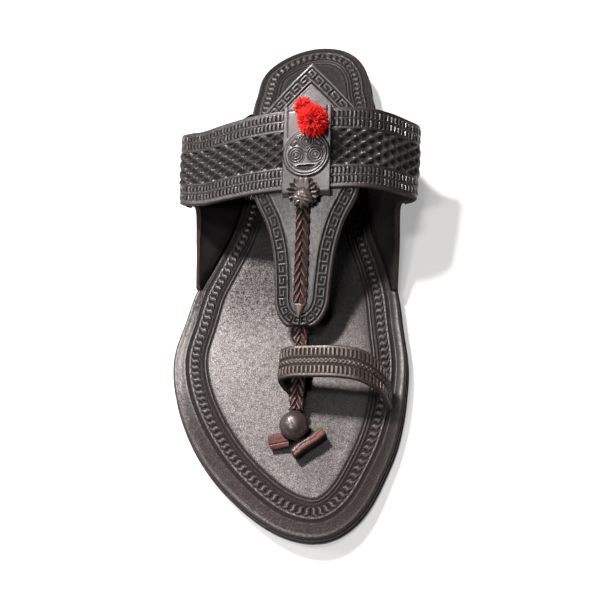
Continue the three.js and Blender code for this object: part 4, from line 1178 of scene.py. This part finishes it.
def braidPiece(name, points, width, pitch, nodeName, seedShift, tip):
    # flat braid: arms slant up to a middle crease in chevrons, each arm a thin strip that dives under
    # the next;
    # its last part, a share tip of the length, is folded flat to a triangle
    share = np.linspace(0, 1, 301)
    line, _, length = byLength(points, share)
    forward = unit(np.gradient(line, axis=0))
    up = np.array([0, -0.3, 0.95])
    sideways = unit(np.cross(forward, up))
    lift = np.cross(sideways, forward)
    base = braid["thick"] - braid["arm"]
    s, reach, depth, on = stripLoop(base, 0.55, 40, 8)
    v = (share * length / pitch)[:, None] + seedShift
    slope = braid["slope"] * np.abs(s)[None] * width / 2 / pitch
    phase = (v - slope + np.where(s < 0, 0.0, 0.5)[None]) % 1
    strip = np.clip(np.sin(np.pi * np.clip(phase / 0.6, 0, 1)), 0, 1) ** 0.6 * (1.1 - 0.4 * phase)
    body = (1 - np.abs(s) ** 4)[None]
    plain = smooth((share[:, None] - 1 + tip) / 0.012) if tip else 0 * v
    height = braid["arm"] * 1.3 * (strip * (0.3 + 0.7 * body) - 0.3 * bell(s[None], 0.08)) - 0.45
    height = height * (1 - plain) + plain * (0.1 - 0.5 * bell(share[:, None] - 1 + tip, 0.012))
    notch = 0.25 * np.cos(2 * np.pi * (v - slope.max() + 0.2)) * (1 - plain)
    narrow = 1 - 0.88 * np.clip((share[:, None] - 1 + tip) / max(tip, 0.01), 0, 1) * plain
    across = (s[None] * (width / 2 - 0.55 + notch) + reach[None]) * narrow
    rise = base + depth[None] + height * on[None] - 0.4 * (np.abs(s)[None] ** 3) * (on[None] > 0)
    mesh = line[:, None] + sideways[:, None] * across[..., None] + lift[:, None] * rise[..., None]
    # raised arms lighter; the gaps between them and the underside take painted shade
    tone = np.where(on[None] > 0, np.clip(strip * 1.05, 0, 1) * (1 - plain) + 0.6 * plain, 0.2)
    raw = np.clip(bell(phase - 0.1, 0.12) * 0.8 * (on > 0)[None] * (1 - plain) + 0 * height, 0, 1)
    piece = strap(name, mesh, tone, raw)
    return dress(piece, braidLeather, "braid_leather", nodeName)


def instepBraid():
    start = band["front"] + 0.1 * band["width"]
    along = start + braid["length"] * np.linspace(0, 1, 9)
    x = centreLine(along) - 0.006 * ball
    line = np.column_stack([x, yAt(along), tongueTop(x, yAt(along)) + 1.3 * seam])
    return braidPiece("instep_braid", line, braid["width"], 4.9, "braid_instep", 0.0, 0.13)


def toeBraid():
    x = centreLine(tipAlong)
    start = tipAlong - 0.09 * tongue["reach"]
    under = float(tongueTop(np.array(x),
                            np.array(yAt(tipAlong)))) - tongue["thick"] * 1.12 - seam - braid["thick"]
    end = beadPlace + np.array([0, bead["radius"] + seam, -0.3 * braid["thick"]])
    mid = (yAt(tipAlong) + end[1]) / 2
    line = np.array([
        (x, yAt(start), under - 0.1 * seam), (x, yAt(tipAlong + 0.05 * tongue["reach"]), under - seam),
        (beadPlace[0], mid, (under + end[2]) / 2), end,
    ])
    return braidPiece("toe_braid", line, braid["toeWidth"], 4.4, "braid_toe", 0.3, 0)


instepBraid()
toeBraid()
print("sandal: braids made")


# Toe ring

ring = dict(
    width=14.5, thick=2.4, rise=22.0, span=50.0, share=0.7333, edge=0.6, rows=300, columns=54, pitch=1.95,
    relief=0.4, rim=1.3, bars=3.5,
)
ringRows = np.array([
    (1.0, 0.72, 0.0, 0.68), (0.99, 0.62, 0.32, 0.76), (0.917, 0.36, 0.7, 0.9), (0.752, 0.12, 0.945, 1.0),
    (0.539, 0.03, 1.0, 1.0), (0.287, 0.0, 0.95, 1.0), (0.093, -0.01, 0.864, 1.0), (0.0, 0.0, 0.7, 1.0),
    (0.0, 0.04, 0.4, 0.97), (0.045, 0.15, 0.16, 0.92), (0.075, 0.25, 0.0, 0.88),
])


def ringPiece():
    along = ring["share"] * sole["length"]
    left = -0.016 * ball
    floor = footbed(along)
    line = np.column_stack([
        left + ringRows[:, 0] * ring["span"], yAt(along) - ringRows[:, 1] * ring["width"],
        floor + ringRows[:, 2] * ring["rise"],
    ])
    place, t, length = byLength(line, np.linspace(0, 1, ring["rows"] + 1))
    tangent = unit(np.gradient(place, axis=0))
    across = unit(np.array([0, 1, 0.1]))
    outward = -unit(np.cross(tangent, across))
    widths = readTable(np.column_stack([np.arange(11), ringRows[:, 3]]), 1, t * 10) * ring["width"]
    s, reach, depth, lift = stripLoop(ring["thick"], ring["edge"], ring["columns"], 10)
    w = s * (widths[:, None] / 2 - ring["edge"]) + reach
    run = (t * 0 + np.linspace(0, 1, ring["rows"] + 1))[:, None] * length
    share = (w / widths[:, None] + 0.5) * ring["width"]
    side = np.minimum(share, ring["width"] - share)
    bars = smooth((np.abs(((run / ring["pitch"]) % 1) - 0.5) - 0.13) / 0.15)
    height = window(side, ring["rim"] + 0.2, ring["rim"] + ring["bars"], 0.4) * (1.35 * bars - 0.8)
    middle = share - ring["width"] / 2
    wave = 0.75 * np.sin(2 * np.pi * run / 3.9)
    snake = bell(middle - wave, 0.5) + 0.9 * bell(middle + wave, 0.5)
    height = height + window(side, ring["rim"] + ring["bars"] + 0.4, 99,
                             0.4) * (1.1 * np.clip(snake, 0, 1.2) - 0.7)
    height = height * lift
    soft = 0.12 * ripple(run, share, 41, 13) * (lift > 0)
    d = depth + ring["relief"] * height + soft
    points = place[:, None] + across * w[..., None] + outward[:, None] * d[..., None]
    points[..., 2] = np.maximum(points[..., 2], floor + 0.02)
    rim = np.clip((np.abs(reach) > 0) * 0.8, 0, 1)[None] + 0 * run
    # the underside and lower sides take painted shade
    tone = np.where(lift[None] > 0, np.clip(0.6 + 0.55 * height, 0, 1), 0.3)
    piece = strap("toe_ring_strap", points, tone, rim)
    return dress(piece, ringLeather, "ring_leather", "toe_ring")


ringPiece()
print("sandal: toe ring made")


# Bead and knotted ends

def beadPiece():
    # sphere with low folds of wrapped leather: reach = radius (1 + small waves) - a crease round the
    # thong's hole
    rings = np.linspace(0, np.pi, 61)
    turn = np.linspace(0, 2 * np.pi, 121)[:-1]
    x = np.outer(np.sin(rings), np.cos(turn))
    y = np.outer(np.cos(rings), 1 + 0 * turn)
    z = np.outer(np.sin(rings), np.sin(turn))
    dents = 0.05 * np.sin(5 * x + 3 * z) + 0.04 * np.sin(9 * y + 4 * x) - 0.25 * bell(y - 0.82, 0.1)
    dents = dents - 0.16 * bell(x * 0.8 + z * 0.2 + 0.55 * y - 0.1, 0.05)
    reach = bead["radius"] - 0.25 + dents
    points = beadPlace + np.stack([x, y, z], -1) * reach[..., None]
    # tone follows the dents: painted shade in the folds and in the crease round the thong's hole, lighter
    # on their crests
    tone = np.clip(0.62 + dents * 1.4, 0, 1)
    piece = addMesh("thong_bead", points, gridFaces(61, 120, closed=True), weld=True,
                    values={"relief": tone, "rawEdge": 0 * tone + 0.08})
    return dress(piece, beadLeather, "braid_leather", "toe_bead")


fold = dict(width=4.8, height=6.6, length=17.0)
flap = dict(length=8.6, width=6.6, thick=2.4)


def foldPiece():
    # rounded box section |x|^4 + |z|^4 = 1 along the bar, with a groove between the two layers on its top
    heading = np.array([0.774, 0.633, 0])
    aside = np.array([heading[1], -heading[0], 0])
    reach = bead["radius"] + fold["width"] / 2 + seam
    place = beadPlace + aside * reach + heading * 0.04 * fold["length"]
    place[2] += fold["height"] / 2 - bead["radius"]
    share = np.linspace(0, 1, 91)
    size = np.interp(share, [0, 0.012, 0.05, 0.35, 0.65, 0.95, 0.988, 1],
                     [0.6, 0.86, 0.95, 1, 0.95, 0.98, 0.92, 0.7])
    turn = np.linspace(0, 2 * np.pi, 73)[:-1]
    power = (np.abs(np.cos(turn)) ** 3.4 + np.abs(np.sin(turn)) ** 3.4) ** (-1 / 3.4)
    sx, sz = np.cos(turn) * power, np.sin(turn) * power
    v = (share[:, None] - 0.5) * fold["length"]
    dots = np.sin(v * 5.2) * np.sin(sx * 5.5 + v * 2.6)
    top = np.clip(sz, 0, 1) ** 6
    dip = top * (0.1 * dots - 0.28 * bell(sx - 0.12 * np.sin(v * 0.7), 0.12)) + 0.12 * ripple(v, sz * 3, 51,
                                                                                              4)
    x = sx * size[:, None] * fold["width"] / 2 + 0.2 * np.sin(v * 0.55)
    z = sz * (size[:, None] * fold["height"] / 2) + dip
    points = place + x[..., None] * aside + v[..., None] * heading + z[..., None] * np.array([0, 0, 1])
    floor = footbed(alongAt(points[..., 1])) + 0.1
    points[..., 2] = np.maximum(points[..., 2], floor)
    # the top is painted lighter as a highlight and the sides and front take painted shade; the dots show
    # lighter on top, and the raw pink leather shows on top towards one end
    tone = np.clip(0.3 + 0.45 * top + 0.25 * top * dots + 0 * v, 0, 1)
    raw = np.clip(0.75 * top * smooth((v + 1) / 4) + 0.3 * top + 0 * v, 0, 1)
    piece = strap("medial_thong_end", points, tone, raw)
    return dress(piece, braidLeather, "braid_leather", "knot_end_medial")


def flapPiece():
    # curled slab with wavy cut sides, pushed clear of the bead
    up = unit(np.array([-0.25, -0.5, 0.83]))
    heading = unit(np.array([-0.96, -0.24, 0]) - 0.1 * up)
    across = unit(np.cross(up, heading))
    upward = np.cross(heading, across)
    out = unit(np.array([-0.697, -0.629, -0.345]))
    place = beadPlace + out * (bead["radius"] + seam + 0.33 * flap["length"])
    share = np.linspace(-1, 1, 61)[:, None]
    s, reach, depth, lift = stripLoop(flap["thick"], 0.45, 40, 10)
    u = share * flap["length"] / 2
    wide = (1 - 0.12 * share**2 + 0.05 * np.sin(4 * share)) * (flap["width"] / 2 - 0.45)
    v = s[None] * wide + reach[None]
    curl = 0.35 * share**2 - 0.25 * (v / 3) ** 2 + 0.12 * ripple(u, v, 61, 4)
    d = depth[None] + flap["thick"] / 2 + curl - 0.35 * lift[None] * bell(v - 0.9, 0.3)
    u = u + 0.25 * np.sin(v * 1.3) * np.sign(share) * np.abs(share) ** 6
    points = place + u[..., None] * heading + v[..., None] * across + d[..., None] * upward
    away = points - beadPlace
    span = np.linalg.norm(away, axis=-1, keepdims=True)
    points = beadPlace + away * np.maximum(span, bead["radius"] + 0.1) / span
    raw = np.clip((np.abs(reach) > 0) * 1.0 + (lift > 0) * 0.3, 0, 1)[None] + 0 * u
    # the top is painted lighter and the underside takes painted shade
    tone = np.where(lift[None] > 0, 0.75, 0.3) + 0 * u
    piece = strap("lateral_thong_end", points, tone, raw)
    return dress(piece, flapLeather, "braid_leather", "knot_end_lateral")


beadPiece()
foldPiece()
flapPiece()
print("sandal: bead and thong ends made")


# Pompom

pom = dict(radius=5.0, reach=8.0, back=29.4, strands=620, tuftStrands=210, thick=0.3)


def yarnWool():
    material = bpy.data.materials.new("red wool")
    material.use_nodes = True
    tree = material.node_tree
    shader = tree.nodes["Principled BSDF"]
    where = node(tree, "ShaderNodeTexCoord").outputs["Object"]
    outFromCore = node(tree, "ShaderNodeAttribute", dict(attribute_name="relief")).outputs["Fac"]
    fuzz = node(tree, "ShaderNodeTexNoise", Vector=where, Scale=2400.0, Detail=4.0, Roughness=0.7)
    tuft = node(tree, "ShaderNodeTexNoise", Vector=where, Scale=420.0, Detail=2.0)
    # painted shade: the yarn darkens towards the core and the roots of the strands
    shadedRed = blend(tree, spread(tree, outFromCore, 0.2, 0.95), (0.22, 0.004, 0.006, 1), (0.66, 0.012, 0.012, 1))
    color = blend(tree, spread(tree, tuft.outputs["Fac"], 0.5, 0.7), shadedRed, (0.78, 0.03, 0.02, 1))
    tree.links.new(color, shader.inputs["Base Color"])
    bump = node(tree, "ShaderNodeBump", Strength=0.5, Distance=0.0002, Height=fuzz.outputs["Fac"])
    tree.links.new(bump.outputs[0], shader.inputs["Normal"])
    shader.inputs["Roughness"].default_value = 0.9
    shader.inputs["Sheen Weight"].default_value = 0.3
    shader.inputs["Sheen Roughness"].default_value = 0.5
    shader.inputs["Sheen Tint"].default_value = (1.0, 0.25, 0.2, 1)
    shader.inputs["Specular IOR Level"].default_value = 0.2
    return material


def strands(centre, count, reach, seed):
    # bent tapering yarns from a core: p(t) = centre + a heading that leans with t, ring of 4 points
    # round it
    rng = np.random.default_rng(seed)
    i = np.arange(count) + 0.5
    height = 1 - 1.55 * i / count
    turn = i * 2.39996 + rng.normal(0, 0.2, count)
    flat = np.sqrt(1 - height**2)
    heading = flat[:, None] * np.cos(turn)[:, None] * np.array([1, 0, 0])
    heading = heading + flat[:, None] * np.sin(turn)[:, None] * tabForward + height[:, None] * tabUp
    heading = unit(heading + rng.normal(0, 0.1, (count, 3)))
    length = reach * rng.uniform(0.82, 1.0, count)
    droop = rng.normal(0, 0.5, (count, 3)) + np.array([0.1, -0.1, -0.35])
    t = np.array([0.25, 0.5, 0.7, 0.86, 1.0])
    path = centre + heading[:, None] * (length[:, None] * t)[..., None] + droop[:, None] * (t**2)[None, :,
                                                                                                  None]
    girth = rng.uniform(0.75, 1.25, count)[:, None] * pom["thick"] * np.array([1.5, 1.3, 1.1, 0.85, 0.25])
    side = unit(np.cross(heading, np.array([0.31, 0.22, 0.92])))
    other = np.cross(heading, side)
    corner = np.array([0, 0.5, 1, 1.5]) * np.pi
    loop = side[:, None, None] * np.cos(corner)[:, None] + other[:, None, None] * np.sin(corner)[:, None]
    points = path[:, :, None] + loop * girth[..., None, None]
    # tone rises from a yarn's root to its tip; the wool material paints the roots in shade
    tone = np.broadcast_to(t[None, :, None], points.shape[:3])
    quads = gridFaces(5, 4, closed=True)[None] + (np.arange(count) * 20)[:, None, None]
    ends = np.array([[3, 2, 1, 0], [16, 17, 18, 19]]) + (np.arange(count) * 20)[:, None, None]
    faces = np.concatenate([quads.reshape(-1, 4), ends.reshape(-1, 4)])
    return points.reshape(-1, 3), faces, tone.reshape(-1)


def ballOf(centre, radius):
    rings = np.linspace(0, np.pi, 17)
    turn = np.linspace(0, 2 * np.pi, 33)[:-1]
    shape = np.stack([np.outer(np.sin(rings), np.cos(turn)), np.outer(np.sin(rings), np.sin(turn)),
                      np.outer(np.cos(rings), 1 + 0 * turn)], -1)
    # the core ball takes the darkest painted shade of the wool
    return (centre + shape * radius).reshape(-1, 3), gridFaces(17, 32, closed=True), np.full(17 * 32, 0.1)


def pompomPiece():
    x = centreLine(band["front"]) + 0.037 * ball
    y = yAt(band["front"]) + pom["back"] * math.cos(tilt)
    z = float(instepSurface(np.array(x), np.array(y))) + (seam + tab["thick"]) / math.cos(tilt)
    base = np.array([x, y, z]) + tabUp * (seam + 0.08 * pom["radius"])
    main = base + tabUp * pom["radius"]
    small = base + np.array([-0.85, 0.8, 1.35]) * pom["radius"]
    parts = [
        ballOf(main, 0.8 * pom["radius"]), strands(main, pom["strands"], pom["reach"] * 0.98, 71),
        ballOf(small, 0.5 * pom["radius"]),
        strands(small, pom["tuftStrands"], pom["reach"] * 0.66, 72),
    ]
    points, quads, tone, start = [], [], [], 0
    for p, q, v in parts:
        points.append(p)
        quads.append(q + start)
        tone.append(v)
        start += len(p)
    piece = addMesh("wool_pompom", np.concatenate(points), np.concatenate(quads), weld=True,
                    values={"relief": np.concatenate(tone)}, sharp=0)
    return dress(piece, yarnWool(), "pompom_wool", "pompom")


pompomPiece()
print("sandal: pompom made")


# Stage, lights and camera

stage = dict(floor=0.5, glow=0.36, dim=0.003, bright=0.08, near=0.2, far=0.5, bounce=0.12, backdrop=0.9)
floorMesh = bpy.data.meshes.new("floor")
reachOut = 6.0  # half of the floor's side in metres
floorMesh.from_pydata([(-reachOut, -reachOut, 0), (reachOut, -reachOut, 0), (reachOut, reachOut, 0),
                       (-reachOut, reachOut, 0)],
                      [], [(0, 1, 2, 3)])
floorPiece = bpy.data.objects.new("floor", floorMesh)
bpy.context.scene.collection.objects.link(floorPiece)
floorMaterial = bpy.data.materials.new("white paper floor")
floorMaterial.use_nodes = True
floorShader = floorMaterial.node_tree.nodes["Principled BSDF"]
floorShader.inputs["Base Color"].default_value = (stage["floor"],) * 3 + (1,)
floorShader.inputs["Roughness"].default_value = 0.9
floorShader.inputs["Emission Color"].default_value = (1, 1, 1, 1)
# the paper looks white to the eye, most of all away from the sandal, but throws less light on the leather
paper = floorMaterial.node_tree
spot = node(paper, "ShaderNodeTexCoord").outputs["Object"]
away = node(paper, "ShaderNodeVectorMath", dict(operation="LENGTH"), i0=spot).outputs["Value"]
white = spread(paper, away, stage["near"], stage["far"], stage["glow"], 1.0)
seenFloor = node(paper, "ShaderNodeLightPath").outputs["Is Camera Ray"]
glow = node(paper, "ShaderNodeMapRange", None, i0=seenFloor, i3=stage["bounce"], i4=white).outputs[0]
paper.links.new(glow, floorShader.inputs["Emission Strength"])
floorMesh.materials.append(floorMaterial)

world = bpy.data.worlds.new("soft studio")
world.use_nodes = True
sky = world.node_tree
# a pale backdrop for the eye; for the leather bright on the left, dim on the right
direction = node(sky, "ShaderNodeTexCoord").outputs["Generated"]
parts = node(sky, "ShaderNodeSeparateXYZ", Vector=direction).outputs
sky.nodes["Background"].inputs["Color"].default_value = (0.96, 0.98, 1.0, 1)
seen = node(sky, "ShaderNodeLightPath").outputs["Is Camera Ray"]
strength = maths(sky, "MAXIMUM", spread(sky, parts["X"], 0.25, -0.9, stage["dim"], stage["bright"]),
                 maths(sky, "MULTIPLY", seen, stage["backdrop"]))
sky.links.new(strength, sky.nodes["Background"].inputs["Strength"])
bpy.context.scene.world = world


def softbox(name, aim, direction, distance, size, power, colour):
    # square lamp that faces a point (mm), seen from there in a direction, at a distance in metres
    light = bpy.data.lights.new(name, "AREA")
    light.shape = "RECTANGLE"
    light.size, light.size_y = size
    light.energy = power
    light.color = colour
    lamp = bpy.data.objects.new(name, light)
    heading = unit(np.array(direction, float))
    place = np.array(aim) / 1000 + heading * distance
    side = unit(np.cross([0, 1, 0], heading))
    lamp.matrix_world = Matrix(np.column_stack([
        np.append(side, 0), np.append(np.cross(heading, side), 0), np.append(heading, 0),
        np.append(place, 1),
    ]).tolist())
    bpy.context.scene.collection.objects.link(lamp)
    return lamp


softbox("key", (0, 0, 30), (-0.35, 0.365, 0.86), 0.64, (0.08, 0.08), 9.8, (1.0, 0.9, 0.865))
softbox("left panel", (0, 0, 30), (-0.8, 0.05, 0.6), 1.2, (0.3, 0.3), 4.0, (0.96, 0.98, 1.0))
softbox("overhead panel", (0, 0, 30), (-0.02, -0.1, 0.99), 1.2, (0.16, 0.16), 4.6, (1.0, 0.98, 0.97))
softbox("front panel", (0, 0, 30), (-0.24, -0.5, 0.83), 1.2, (0.16, 0.16), 6.0, (1.0, 0.96, 0.94))

view = dict(place=(63.4, -214.66, 358.2), elevation=56.0, aimX=-92.5, aimY=-55.3, photoLens=600.0,
            lens=828.0, pixels=600)
pitch = math.radians(view["elevation"])
ahead = np.array([0, math.cos(pitch), -math.sin(pitch)])
upward = np.array([0, math.sin(pitch), math.cos(pitch)])
right = np.array([1.0, 0, 0])
aim = unit(ahead * view["photoLens"] + right * view["aimX"] + upward * view["aimY"])
axis = np.cross(ahead, aim)
sine, cosine = np.linalg.norm(axis), ahead @ aim
axis = axis / sine


def turned(v):
    # Rodrigues: v cos + (axis x v) sin + axis (axis . v) (1 - cos)
    return v * cosine + np.cross(axis, v) * sine + axis * (axis @ v) * (1 - cosine)


camera = bpy.data.cameras.new("camera")
camera.sensor_width = 36.0
camera.lens = view["lens"] / view["pixels"] * camera.sensor_width
camera.clip_start, camera.clip_end = 0.01, 20.0
cameraPiece = bpy.data.objects.new("camera", camera)
bpy.context.scene.collection.objects.link(cameraPiece)
cameraPlace = (np.array(view["place"]) + offset) / 1000
cameraPiece.matrix_world = Matrix(np.column_stack([
    np.append(turned(right), 0), np.append(turned(upward), 0), np.append(-aim, 0),
    np.append(cameraPlace, 1),
]).tolist())
bpy.context.scene.camera = cameraPiece
bpy.context.scene.view_settings.view_transform = "Standard"
print("sandal: stage ready")
